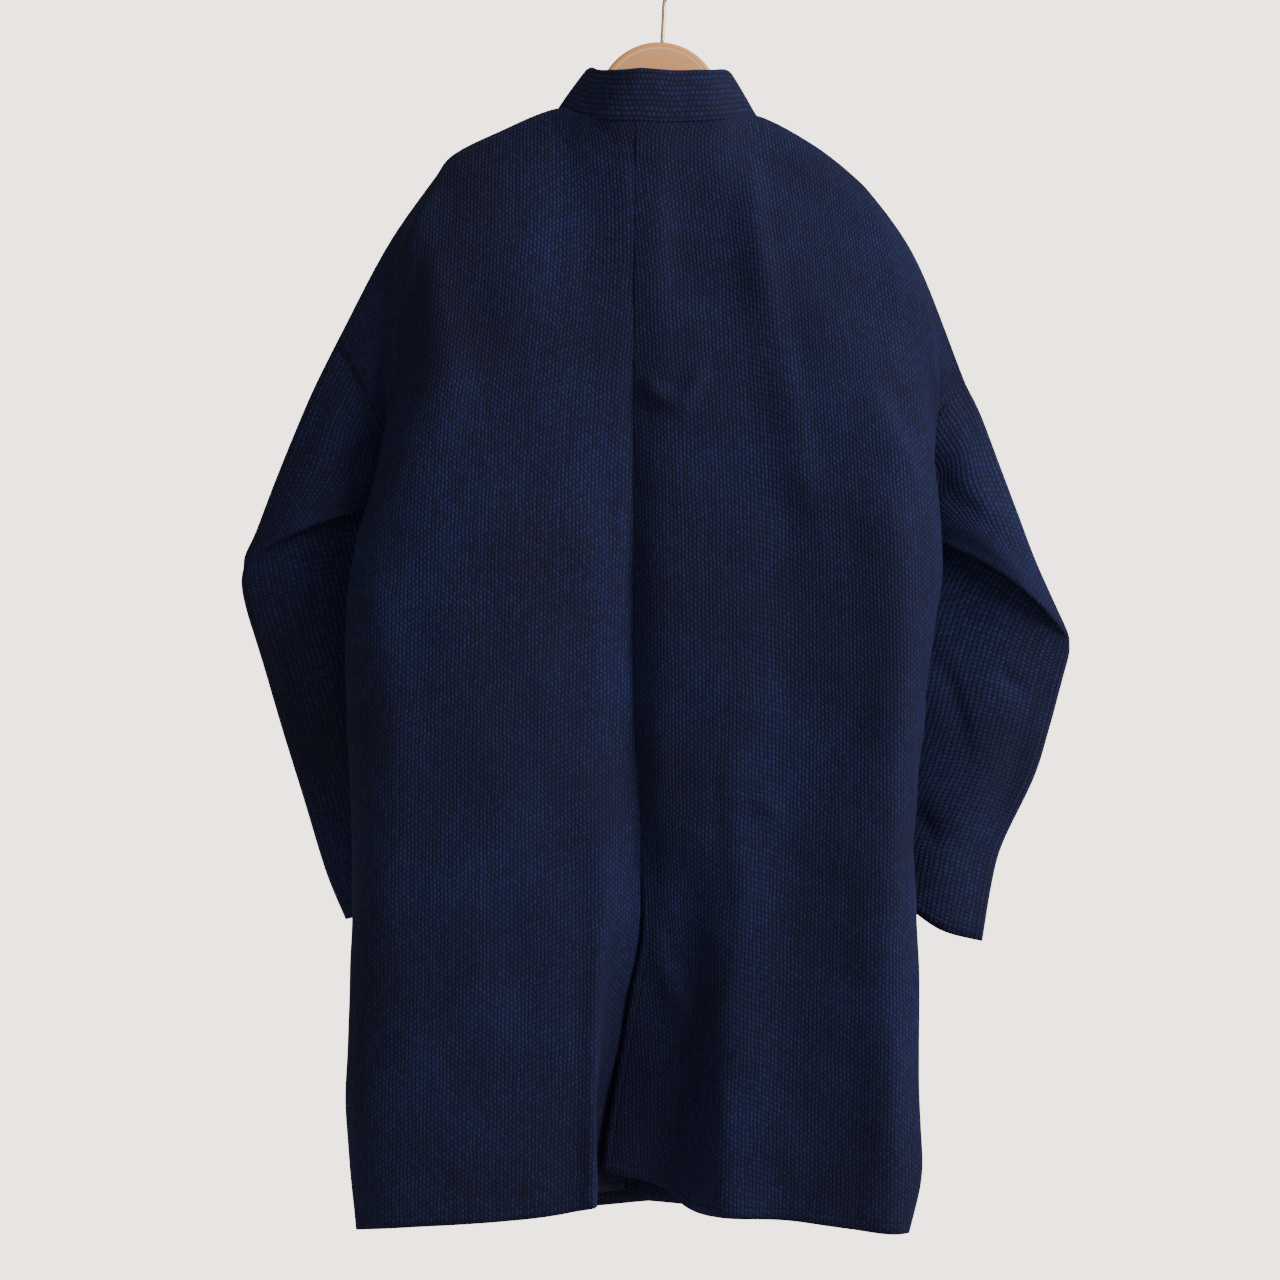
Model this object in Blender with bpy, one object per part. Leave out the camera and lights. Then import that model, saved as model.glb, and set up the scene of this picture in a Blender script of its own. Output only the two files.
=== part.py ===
"""Kendo jacket of sashiko cotton, hung on a wooden hanger and seen from behind. Left and right are the
wearer's.

Tables are in millimetres. x is across, y is depth with the back of the jacket at -y, and z is measured
down from the top of the hanger's wooden head, which hangs HEAD_DROP below the inside of the hook, where
the origin is.
"""

import math

import bmesh
import bpy
import numpy as np
from mathutils import Vector

MM = 0.001
HEAD_DROP = 95.0
CLOTH = 1.8
COLLAR_THICK = 4.6
COLLAR_HIGH = 42.0
SEAM_HALF_GAP = 0.4
CENTRE_HALF_GAP = 0.9
SIDE_VENT_TOP = -838.0
SIDE_VENT_SPREAD = 0.08
TUCK = 6.0
TURN_GAP = 2.9
TURN_OUT = 1.3
TURN_DEEP = 6.5
EDGE_ROUND = 2.5
EDGE_ROUND_SHARE = 0.05
SHOULDER_ROUND = 34.0

HANGER_TILT = math.radians(3.1)
HANGER_THICK = 12.0
HEAD_RADIUS = 53.0
HEAD_AT = (-4.0, 0.0)
WIRE_RADIUS = 1.65
HOOK_RADIUS = 20.65
STEM_STRAIGHT = 42.0

INDIGO = (0.012, 0.021, 0.066, 1.0)
BEECH = (0.56, 0.27, 0.11, 1.0)
BRASS = (0.62, 0.47, 0.22, 1.0)

# Rows between the shoulder and the hem, as shares of the way down, and columns in each span between two
# guides
ARMPIT_LEVEL = 0.24
BACK_LEVELS = (0, 0.002, 0.007, 0.016, 0.03, 0.055, 0.09, 0.12, 0.16, 0.20, ARMPIT_LEVEL, 0.28, 0.32, 0.36, 0.40,
               0.45, 0.50, 0.55, 0.60, 0.65, 0.70, 0.75, 0.80, 0.85, 0.90, 0.95, 1)
FRONT_LEVELS = (0, 0.002, 0.007, 0.016, 0.035, 0.07, 0.12, 0.18, ARMPIT_LEVEL, 0.31, 0.38, 0.46, 0.55, 0.65, 0.76,
                0.88, 1)

# Guides of the back panels, from the centre seam outwards. A row is (z, x, y) on the line that the guide
# follows, top to hem. The first value is the depth of the panel's top edge there: on the neckline, or 0
# on the shoulder fold.
BACK_LEFT = {
    "seam": (-38, [(-60, -26, -38), (-262, -27, -40), (-350, -27, -34), (-446, -27, -28), (-526, -27, -26),
                   (-590, -23, -24), (-654, -21, -22), (-716, -21, -18), (-779, -25, 1), (-855, -35, 13),
                   (-930, -42, 20)]),
    "wall": (-37, [(-60, -34, -37), (-262, -36, -42), (-446, -35, -34), (-590, -34, -31), (-662, -38, -34),
                   (-714, -42, -36), (-774, -50, -26), (-848, -59, -8), (-930, -63, 3)]),
    "fold": (-34, [(-59, -46, -34), (-262, -47, -43), (-446, -46, -39), (-590, -46, -38), (-662, -50, -44),
                   (-714, -52, -47), (-774, -56, -50), (-846, -58, -52), (-930, -58, -51)]),
    "nape": (-19, [(-54, -68, -28), (-262, -68, -45), (-446, -66, -46), (-590, -66, -46), (-714, -69, -49),
                   (-846, -71, -52), (-933, -72, -50)]),
    "neck": (0, [(-45, -87, -16), (-166, -87, -42), (-286, -98, -48), (-446, -102, -52), (-590, -104, -53),
                 (-714, -104, -54), (-846, -105, -55), (-938, -106, -53)]),
    "blade": (0, [(-64, -136, -14), (-166, -138, -40), (-286, -144, -49), (-446, -152, -54),
                  (-606, -155, -56), (-766, -156, -57), (-942, -157, -55)]),
    "flank": (0, [(-85, -176, -13), (-166, -183, -33), (-246, -190, -41), (-326, -204, -45),
                  (-398, -226, -43), (-462, -236, -41), (-542, -236, -41), (-646, -233, -43),
                  (-766, -233, -44), (-870, -236, -45), (-948, -231, -44)]),
    "ridge": (0, [(-100, -187, -12), (-134, -198, -22), (-206, -203, -26), (-260, -208, -27),
                  (-319, -223, -26), (-401, -250, -22), (-461, -258, -19), (-526, -259, -17),
                  (-583, -255, -17), (-702, -254, -18), (-785, -256, -19), (-841, -258, -20),
                  (-919, -254, -24), (-952, -249, -28)]),
    "turn": (0, [(-154, -225, -8), (-219, -226, -14), (-262, -224, -18), (-300, -226, -16),
                 (-345, -234, -11), (-400, -244, -8), (-461, -250, -5), (-526, -248, -4), (-583, -244, -4),
                 (-704, -244, -5), (-786, -247, -7), (-843, -249, -9), (-922, -248, -14), (-953, -244, -19)]),
    "edge": (0, [(-237, -269, -1), (-265, -252, -7), (-290, -238, -8), (-315, -227, -3), (-348, -214, 0),
                 (-385, -205, 4), (-409, -201, 8), (-426, -203, 8), (-478, -211, 8), (-543, -221, 7),
                 (-649, -227, 5), (-771, -232, 2), (-844, -235, -2), (-923, -236, -8), (-954, -235, -13)]),
}
BACK_RIGHT = {
    "seam": (-38, [(-60, -26, -38), (-262, -27, -40), (-350, -27, -34), (-446, -27, -28), (-526, -27, -26),
                   (-590, -23, -24), (-654, -21, -22), (-716, -20, -21), (-757, -28, -15), (-823, -40, -2),
                   (-887, -51, 1), (-911, -54, 1)]),
    "dip": (-38, [(-61, -8, -38), (-262, -8, -44), (-334, -10, -42), (-446, -10, -39), (-558, -9, -37),
                  (-638, -3, -32), (-716, 3, -26), (-780, 3, -14), (-852, 1, -5), (-923, -6, 3)]),
    "trough": (-36, [(-61, 10, -36), (-166, 10, -39), (-262, 9, -45), (-316, 8, -45), (-406, 8, -44),
                     (-546, 11, -42), (-610, 15, -39), (-672, 21, -35), (-737, 22, -26), (-819, 20, -13),
                     (-940, 18, -5)]),
    "crest": (-30, [(-58, 42, -30), (-166, 50, -39), (-262, 54, -44), (-350, 56, -44), (-446, 57, -45),
                    (-526, 57, -46), (-598, 54, -46), (-670, 50, -45), (-735, 47, -42), (-816, 46, -39),
                    (-941, 45, -36)]),
    "neck": (0, [(-51, 73, -15), (-166, 86, -39), (-286, 94, -43), (-446, 98, -43), (-590, 98, -43),
                 (-715, 96, -41), (-847, 94, -37), (-943, 92, -35)]),
    "blade": (0, [(-76, 121, -14), (-206, 130, -40), (-326, 138, -48), (-486, 146, -50), (-646, 142, -49),
                  (-806, 142, -46), (-948, 145, -44)]),
    "flank": (0, [(-104, 156, -13), (-204, 165, -33), (-285, 175, -42), (-349, 184, -49), (-413, 190, -54),
                  (-485, 190, -55), (-574, 184, -55), (-646, 180, -54), (-766, 178, -53), (-870, 182, -53),
                  (-951, 179, -52)]),
    "ridge": (0, [(-116, 167, -12), (-154, 177, -19), (-181, 184, -24), (-220, 192, -27), (-268, 201, -29),
                  (-317, 209, -30), (-356, 216, -30), (-395, 220, -30), (-433, 219, -30), (-482, 212, -30),
                  (-539, 206, -30), (-607, 200, -30), (-664, 198, -30), (-704, 200, -31), (-768, 202, -32),
                  (-833, 201, -34), (-869, 203, -35), (-921, 202, -37), (-952, 193, -39)]),
    "turn": (0, [(-163, 200, -8), (-227, 218, -13), (-270, 220, -17), (-300, 218, -15), (-340, 216, -10),
                 (-385, 215, -7), (-429, 213, -5), (-486, 205, -4), (-575, 195, -4), (-665, 190, -4),
                 (-770, 193, -6), (-835, 194, -9), (-871, 196, -12), (-922, 194, -16), (-954, 186, -20)]),
    "edge": (0, [(-269, 243, -1), (-282, 230, -7), (-300, 216, -8), (-325, 202, -4), (-360, 190, 1),
                 (-400, 182, 5), (-434, 179, 8), (-452, 181, 8), (-486, 186, 8), (-576, 179, 7),
                 (-665, 174, 5), (-771, 177, 2), (-839, 180, -2), (-891, 183, -9), (-955, 181, -15)]),
}

# Guides of the fronts, from the side inwards. Their tops are the back guides' tops, so a row starts below
# them, and below the armpit the edge is the side seam, the back's own edge.
FRONT_LEFT = {
    "edge": [(-265, -252, 8), (-290, -238, 13), (-315, -227, 16), (-348, -214, 17), (-385, -205, 13)],
    "turn": [(-219, -224, 12), (-324, -203, 19), (-420, -186, 13), (-543, -205, 12), (-700, -212, 11),
             (-844, -218, 6), (-954, -218, 3)],
    "ridge": [(-166, -187, 16), (-286, -184, 21), (-420, -170, 20), (-620, -182, 19), (-844, -190, 14),
              (-954, -192, 11)],
    "flank": [(-166, -168, 18), (-420, -140, 28), (-720, -150, 28), (-952, -155, 24)],
    "blade": [(-166, -128, 22), (-420, -100, 38), (-720, -100, 38), (-950, -104, 35)],
    "neck": [(-95, -72, 18), (-185, -46, 36), (-305, -12, 44), (-425, 16, 46), (-560, 28, 46),
             (-940, 30, 45)],
}
FRONT_RIGHT = {
    "edge": [(-282, 230, 8), (-300, 215, 13), (-325, 202, 16), (-360, 190, 17), (-400, 182, 13)],
    "turn": [(-227, 217, 9), (-324, 192, 17), (-424, 166, 13), (-576, 164, 12), (-771, 164, 10),
             (-955, 174, 8)],
    "ridge": [(-166, 172, 15), (-286, 168, 21), (-424, 150, 20), (-700, 148, 19), (-955, 158, 14)],
    "flank": [(-166, 156, 17), (-420, 122, 25), (-700, 118, 26), (-952, 126, 23)],
    "blade": [(-166, 112, 20), (-420, 86, 29), (-700, 84, 31), (-950, 88, 30)],
    "neck": [(-95, 58, 16), (-185, 34, 26), (-305, 2, 31), (-425, -20, 32), (-560, -26, 32),
             (-940, -28, 32)],
}
NECK_GUIDE = 4
SPANS_LEFT = (2, 2, 2, 2, 3, 2, 3, 3, 2)
SPANS_RIGHT = (2, 3, 3, 2, 3, 2, 3, 3, 2)

# Rings of a sleeve from the armhole to the cuff. The near side goes from the outer edge through three
# points to the inner edge, hangs over itself at the elbow fold, and the far side goes back with its
# middle at the depth "far".
SLEEVE_LEFT = [
    ("upper", (-288, -275, 2), (-270, -300, -6), (-248, -328, -3), (-224, -354, 5), (-205, -416, 18), 22),
    ("upper", (-305, -314, 4), (-284, -329, -6), (-251, -342, -2), (-225, -358, 6), (-204, -422, 20), 26),
    ("upper", (-321, -353, 6), (-294, -357, -6), (-252, -356, -2), (-225, -362, 7), (-203, -428, 22), 29),
    ("upper", (-335, -389, 8), (-299, -377, -6), (-252, -366, -1), (-225, -366, 8), (-201, -434, 24), 31),
    ("fold", (-344, -408, 10), (-300, -389, -5), (-250, -372, 0), (-224, -370, 9), (-198, -439, 26), 33),
    ("under", (-346, -418, 14), (-300, -383, 5), (-250, -367, 8), (-222, -374, 14), (-195, -445, 28), 35),
    ("lower", (-348, -432, 17), (-300, -405, 10), (-250, -394, 12), (-215, -402, 16), (-190, -453, 31), 37),
    ("lower", (-344, -454, 19), (-298, -448, 12), (-250, -444, 15), (-209, -443, 21), (-181, -470, 34), 40),
    ("lower", (-332, -494, 22), (-288, -492, 13), (-244, -490, 16), (-201, -488, 25), (-170, -504, 38), 44),
    ("lower", (-316, -550, 25), (-273, -548, 13), (-230, -546, 17), (-188, -546, 28), (-157, -552, 41), 47),
    ("lower", (-298, -609, 27), (-256, -606, 14), (-214, -600, 19), (-174, -594, 30), (-141, -592, 44), 50),
    ("lower", (-280, -669, 29), (-240, -660, 15), (-200, -650, 20), (-161, -640, 32), (-124, -630, 47), 52),
    ("cuff", (-264, -708, 30), (-226, -697, 17), (-187, -682, 22), (-148, -668, 34), (-110, -655, 49), 54),
]
SLEEVE_RIGHT = [
    ("upper", (256, -295, 2), (240, -320, -6), (221, -342, -1), (202, -364, 5), (184, -441, 18), 22),
    ("upper", (271, -334, 4), (250, -348, -6), (226, -358, -1), (204, -371, 6), (183, -447, 20), 25),
    ("upper", (286, -373, 6), (262, -375, -6), (230, -372, -2), (205, -378, 7), (182, -452, 22), 28),
    ("upper", (301, -412, 8), (270, -402, -6), (233, -386, -1), (205, -384, 8), (180, -457, 24), 30),
    ("upper", (316, -445, 10), (282, -421, -5), (238, -396, 0), (205, -389, 9), (178, -461, 26), 32),
    ("fold", (328, -471, 12), (291, -437, -3), (242, -406, 1), (205, -393, 10), (176, -465, 28), 34),
    ("under", (330, -481, 15), (291, -431, 6), (242, -400, 9), (203, -399, 15), (174, -470, 30), 36),
    ("lower", (330, -490, 18), (288, -462, 11), (238, -434, 13), (197, -424, 17), (170, -477, 32), 38),
    ("lower", (325, -510, 20), (282, -497, 13), (234, -478, 16), (190, -466, 21), (162, -494, 35), 41),
    ("lower", (314, -552, 22), (272, -545, 12), (228, -534, 16), (183, -524, 24), (152, -530, 38), 44),
    ("lower", (302, -591, 24), (260, -586, 14), (216, -578, 17), (173, -568, 27), (142, -562, 40), 46),
    ("lower", (277, -644, 26), (240, -640, 13), (200, -630, 18), (159, -616, 30), (126, -606, 44), 49),
    ("lower", (268, -677, 27), (232, -672, 14), (192, -656, 18), (151, -640, 32), (116, -628, 46), 52),
    ("cuff", (260, -726, 28), (226, -716, 18), (188, -690, 20), (141, -668, 34), (102, -652, 48), 54),
]
SLEEVE_STEPS = {"upper": 2, "fold": 2, "under": 2, "lower": 2, "cuff": 1}

# Neckline and front edges as the collar's seam, from the left hem round the back of the neck to the right
# hem: the way from the seam to the collar's free edge, as (x, y, z).
COLLAR_LEAN = [
    ("left hem", (1.0, 0.03, 0.0)),
    ("left waist", (1.0, 0.05, 0.02)),
    ("left breast", (0.96, 0.10, 0.24)),
    ("left collarbone", (0.86, 0.16, 0.46)),
    ("left neck", (0.52, 0.20, 0.82)),
    ("nape", (0.06, 0.06, 1.0)),
    ("right neck", (-0.42, 0.20, 0.88)),
    ("right collarbone", (-0.84, 0.16, 0.50)),
    ("right breast", (-0.96, 0.10, 0.24)),
    ("right waist", (-1.0, 0.05, 0.02)),
    ("right hem", (-1.0, 0.03, 0.0)),
]


def smoothAt(keys, values, at):
    """A smooth curve through values, one for each key, read at the places asked for."""
    keys = np.asarray(keys, float)
    values = np.asarray(values, float)
    at = np.clip(np.asarray(at, float), keys[0], keys[-1])
    steps = np.diff(keys)
    rises = np.diff(values, axis=0) / steps[:, None]
    slopes = np.empty_like(values)
    slopes[0], slopes[-1] = rises[0], rises[-1]
    weights = (steps[:-1] / (steps[:-1] + steps[1:]))[:, None]
    slopes[1:-1] = rises[:-1] * (1 - weights) + rises[1:] * weights
    i = np.clip(np.searchsorted(keys, at, side="right") - 1, 0, len(steps) - 1)
    h = steps[i][:, None]
    t = ((at - keys[i]) / steps[i])[:, None]
    return ((2 * t**3 - 3 * t**2 + 1) * values[i] + (t**3 - 2 * t**2 + t) * h * slopes[i]
            + (3 * t**2 - 2 * t**3) * values[i + 1] + (t**3 - t**2) * h * slopes[i + 1])


def guideAt(rows, levels):
    """Points (x, y, z) of one guide at shares of its height, top to bottom."""
    heights = np.array([row[0] for row in rows], float)
    places = np.array([row[1:] for row in rows], float)
    z = heights[0] + (heights[-1] - heights[0]) * np.asarray(levels, float)
    places = smoothAt(-heights, places, -z)
    return np.column_stack([places, z])


def overShoulder(points, topDepth):
    """Bends a guide's top over the fold that it hangs from, so that it starts at the depth topDepth."""
    drop = np.clip((points[0, 2] - points[:, 2]) / SHOULDER_ROUND, 0, 1)
    share = np.sqrt(drop * (2 - drop))
    bent = points.copy()
    bent[:, 1] = topDepth + (points[:, 1] - topDepth) * share
    return bent


def acrossGuides(places, spans, trimStart, trimEnd):
    """Columns of points through the guides' points at one level, with the outer ends drawn back at a seam."""
    chords = np.linalg.norm(np.diff(places, axis=0), axis=1)
    keys = np.concatenate([[0.0], np.cumsum(np.sqrt(np.maximum(chords, 0.5)))])
    at = [keys[0]]
    for number, count in enumerate(spans):
        at += list(keys[number] + (keys[number + 1] - keys[number]) * np.arange(1, count + 1) / count)
    at[0] += trimStart / chords[0] * (keys[1] - keys[0])
    at[-1] -= trimEnd / chords[-1] * (keys[-1] - keys[-2])
    return smoothAt(keys, places, at)


def backGrid(guides, spans, levels):
    """The back of a body panel: rows from the shoulder to the hem, columns from the centre seam to the side."""
    lines = [overShoulder(guideAt(rows, levels), depth) for depth, rows in guides.values()]
    return np.array([acrossGuides(np.array([line[k] for line in lines]), spans, CENTRE_HALF_GAP, SEAM_HALF_GAP)
                     for k in range(len(levels))])


def frontGrid(guides, backGuides, spans, levels):
    """The front of a body panel, columns from the side to its front edge."""
    lines = []
    for name, rows in guides.items():
        top = backGuides[name][1][0]
        if name == "edge":
            rows = rows + [(z, x, y + max(0, SIDE_VENT_TOP - z) * SIDE_VENT_SPREAD)
                           for z, x, y in backGuides[name][1] if z < rows[-1][0]]
        points = guideAt([(top[0], top[1], rows[0][2])] + rows, levels)
        lines.append(overShoulder(points, 0))
    return np.array([acrossGuides(np.array([line[k] for line in lines]), spans, SEAM_HALF_GAP, SEAM_HALF_GAP)
                     for k in range(len(levels))])


def newObject(name, bm, material, smooth=True):
    """An object of its own from a bmesh, with its material."""
    mesh = bpy.data.meshes.new(name)
    bm.to_mesh(mesh)
    bm.free()
    if smooth:
        mesh.shade_smooth()
    mesh.materials.append(material)
    item = bpy.data.objects.new(name, mesh)
    bpy.context.collection.objects.link(item)
    return item


def inMetres(point):
    return Vector((point[0] * MM, point[1] * MM, (point[2] - HEAD_DROP) * MM))


def addGrid(bm, rows, closed=False):
    """Adds faces over rows of vertices; closed joins each row's last vertex to its first."""
    for upper, lower in zip(rows[:-1], rows[1:]):
        count = len(upper)
        for k in range(count if closed else count - 1):
            after = (k + 1) % count
            bm.faces.new((upper[k], upper[after], lower[after], lower[k]))


def thicken(item, thickness):
    """Gives a sheet its wall, half to each side."""
    wall = item.modifiers.new("wall", "SOLIDIFY")
    wall.thickness = thickness * MM
    wall.offset = 0.0


def bodyPanel(name, back, front, neckColumn, material):
    """A panel in one cut over the shoulder: the back's columns outside the neck go on into the front."""
    bm = bmesh.new()
    backRows = [[bm.verts.new(inMetres(p)) for p in row] for row in back]
    addGrid(bm, backRows)
    shoulder = backRows[0][neckColumn:][::-1]
    frontRows = [shoulder] + [[bm.verts.new(inMetres(p)) for p in row] for row in front[1:]]
    addGrid(bm, frontRows)
    bmesh.ops.recalc_face_normals(bm, faces=bm.faces)
    item = newObject(name, bm, material)
    thicken(item, CLOTH)
    return item


def armhole(back, front, armpitBack, armpitFront):
    """The loop that a sleeve is sewn to, from the shoulder down the back edge and up the front edge, and the level
    way that the cloth runs there, both as points."""
    down = back[:armpitBack + 1, -1]
    up = front[1:armpitFront, 0][::-1]
    ways = []
    for points, column in ((down, back[:, -2]), (up, front[:, 1])):
        beside = np.column_stack([np.interp(-points[:, 2], -column[:, 2], column[:, k]) for k in range(3)])
        ways.append(points - beside)
    return np.vstack([down, up]), np.vstack(ways)


def sharesAlong(points):
    """How far along a line of points each one is, from 0 to 1."""
    along = np.concatenate([[0.0], np.cumsum(np.linalg.norm(np.diff(points, axis=0), axis=1))])
    return along / along[-1]


def edgeShare(shares):
    """How open a flattened tube is near its two folded edges, from 0 on them to 1 a little way in."""
    return np.sqrt(np.clip(np.minimum(shares, 1 - shares) / EDGE_ROUND_SHARE, 0, 1))


def ringOf(row, nearShares, farShares):
    """One ring of a sleeve, from the outer edge over the near side and back on the far side."""
    outer, first, second, third, inner = [np.array([p[0], p[2], p[1]], float) for p in row[1:6]]
    near = np.array([outer, first, second, third, inner])
    nearHalf = smoothAt(sharesAlong(near), near, nearShares)
    nearHalf[:, 1] -= EDGE_ROUND * edgeShare(nearShares)
    farHalf = inner + (outer - inner) * farShares[:, None]
    farHalf[:, 1] += (row[6] - farHalf[:, 1]) * np.sin(math.pi * farShares) + EDGE_ROUND * edgeShare(farShares)
    return np.vstack([nearHalf, farHalf])


def sleeve(name, table, seam, way, armpit, material):
    """A tube from the armhole to the cuff, first running on as the body's cloth runs at the seam."""
    nearShares = sharesAlong(seam[:armpit + 1])
    farShares = sharesAlong(np.vstack([seam[armpit:], seam[:1]]))[1:-1]
    way = way / np.linalg.norm(way, axis=1)[:, None]
    turning = np.clip(-way[:, :1] * np.sign(seam[0, 0]), 0, 1)
    back = np.array([0.0, 1.0, 0.0])
    rings = [seam + way * (2 * SEAM_HALF_GAP * (1 - turning) - TURN_OUT * turning) + back * TURN_GAP * turning,
             seam + way * (TUCK * (1 - turning) - 3 * TURN_OUT * turning) + back * TURN_DEEP * turning]
    rings += [ringOf(row, nearShares, farShares) for row in table]
    at = [0.0, 1.0, 1.5, 2.0]
    for number, row in enumerate(table[1:]):
        count = SLEEVE_STEPS[row[0]]
        at += list(number + 2 + np.arange(1, count + 1) / count)
    flat = smoothAt(np.arange(len(rings)), np.array(rings).reshape(len(rings), -1), at)
    bm = bmesh.new()
    rows = [[bm.verts.new(inMetres(p)) for p in row.reshape(-1, 3)] for row in flat]
    addGrid(bm, rows, closed=True)
    bmesh.ops.recalc_face_normals(bm, faces=bm.faces)
    item = newObject(name, bm, material)
    thicken(item, CLOTH)
    return item


def collar(backLeft, backRight, frontLeft, frontRight, necks, material):
    """A double band along the front edges and the neckline, standing at the nape and flat on the fronts."""
    leftNeck = backLeft[0, :necks[0] + 1][::-1]
    rightNeck = backRight[0, :necks[1] + 1]
    seam = np.vstack([frontLeft[1:, -1][::-1], leftNeck, rightNeck[1:], frontRight[1:, -1]])
    nape = len(frontLeft) - 1 + len(leftNeck) - 1
    neckLeft, neckRight = len(frontLeft) - 1, nape + len(rightNeck) - 1
    breast = 9
    keys = [0, neckLeft - breast, neckLeft - 6, neckLeft - 3, neckLeft, nape, neckRight, neckRight + 3,
            neckRight + 6, neckRight + breast, len(seam) - 1]
    lean = smoothAt(keys, [row[1] for row in COLLAR_LEAN], np.arange(len(seam)))
    lean /= np.linalg.norm(lean, axis=1)[:, None]
    start = CLOTH * 0.5 + 2 * SEAM_HALF_GAP
    bm = bmesh.new()
    rows = []
    for share in np.linspace(0, 1, 4):
        rows.append([bm.verts.new(inMetres(p)) for p in seam + lean * (start + (COLLAR_HIGH - start) * share)])
    addGrid(bm, rows)
    bmesh.ops.recalc_face_normals(bm, faces=bm.faces)
    item = newObject("collar", bm, material)
    thicken(item, COLLAR_THICK)
    return item


def tilted(across, down):
    """A point of the hanger, given from the top of its head, as it hangs turned."""
    sine, cosine = math.sin(HANGER_TILT), math.cos(HANGER_TILT)
    return (HEAD_AT[0] + across * cosine + down * sine, HEAD_AT[1] - across * sine + down * cosine)


def hanger(material):
    """A flat shaped board: a half-round head and two sloping arms."""
    arc = [(HEAD_RADIUS * math.cos(a), HEAD_RADIUS * (math.sin(a) - 1))
           for a in np.linspace(0.06, math.pi - 0.06, 22)]
    arm = [(66, -54), (82, -57), (108, -67), (132, -79), (154, -94), (168, -107), (174, -116), (172, -122),
           (164, -122), (142, -110), (116, -96), (88, -84), (56, -76), (26, -72)]
    outline = arc + [(-x, z) for x, z in arm] + arm[::-1]
    bm = bmesh.new()
    corners = []
    for across, down in outline:
        x, z = tilted(across, down)
        corners.append(bm.verts.new(inMetres((x, -HANGER_THICK / 2, z))))
    face = bm.faces.new(corners)
    moved = bmesh.ops.extrude_face_region(bm, geom=[face])["geom"]
    bmesh.ops.translate(bm, verts=[v for v in moved if isinstance(v, bmesh.types.BMVert)],
                        vec=(0, HANGER_THICK * MM, 0))
    bmesh.ops.recalc_face_normals(bm, faces=bm.faces)
    rims = [e for e in bm.edges if len({round(v.co.y, 6) for v in e.verts}) == 1]
    bmesh.ops.bevel(bm, geom=rims, offset=2.5 * MM, offset_type="OFFSET", affect="EDGES", segments=2,
                    profile=0.5, material=-1)
    bmesh.ops.triangulate(bm, faces=bm.faces)
    return newObject("hanger", bm, material)


def hook(material):
    """Brass wire: straight out of the head, then bent round so that its inside touches the origin."""
    x0, z0 = tilted(0, 0.4)
    x1, z1 = tilted(0, STEM_STRAIGHT)
    centre = HEAD_DROP - (HOOK_RADIUS - WIRE_RADIUS)
    route = [(x0, z0), tilted(0, 14), tilted(0, 28), (x1, z1), (x1 + 2.5, z1 + 5), (x1 + 8, z1 + 9.5)]
    route += [(HOOK_RADIUS * math.cos(a), centre + HOOK_RADIUS * math.sin(a))
              for a in np.radians(np.arange(-44, 206, 15))]
    curve = bpy.data.curves.new("hook", "CURVE")
    curve.dimensions = "3D"
    curve.bevel_depth = WIRE_RADIUS * MM
    curve.bevel_resolution = 2
    curve.use_fill_caps = True
    line = curve.splines.new("POLY")
    line.points.add(len(route) - 1)
    for point, (x, z) in zip(line.points, route):
        point.co = (x * MM, 0, (z - HEAD_DROP) * MM, 1)
    curve.materials.append(material)
    item = bpy.data.objects.new("hook", curve)
    bpy.context.collection.objects.link(item)
    return item


def surface(name, colour, roughness, metallic=0.0):
    """A plain material."""
    material = bpy.data.materials.new(name)
    material.use_nodes = True
    shader = material.node_tree.nodes["Principled BSDF"]
    shader.inputs["Base Color"].default_value = colour
    shader.inputs["Roughness"].default_value = roughness
    shader.inputs["Metallic"].default_value = metallic
    return material


def build():
    for item in list(bpy.data.objects):
        bpy.data.objects.remove(item)
    cotton = surface("indigo sashiko cotton", INDIGO, 0.9)
    wood = surface("beech", BEECH, 0.45)
    brass = surface("brass wire", BRASS, 0.3, 1.0)
    grids = {}
    for side, backs, fronts, spans in (("left", BACK_LEFT, FRONT_LEFT, SPANS_LEFT),
                                       ("right", BACK_RIGHT, FRONT_RIGHT, SPANS_RIGHT)):
        back = backGrid(backs, spans, BACK_LEVELS)
        front = frontGrid(fronts, backs, spans[NECK_GUIDE:][::-1], FRONT_LEVELS)
        neckColumn = sum(spans[:NECK_GUIDE])
        grids[side] = (back, front, neckColumn)
        bodyPanel("body_" + side, back, front, neckColumn, cotton)
    for side, table in (("left", SLEEVE_LEFT), ("right", SLEEVE_RIGHT)):
        back, front, _ = grids[side]
        armpit = BACK_LEVELS.index(ARMPIT_LEVEL)
        loop, way = armhole(back, front, armpit, FRONT_LEVELS.index(ARMPIT_LEVEL))
        sleeve("sleeve_" + side, table, loop, way, armpit, cotton)
    collar(grids["left"][0], grids["right"][0], grids["left"][1], grids["right"][1],
           (grids["left"][2], grids["right"][2]), cotton)
    hanger(wood)
    hook(brass)


build()
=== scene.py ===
import math

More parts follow.
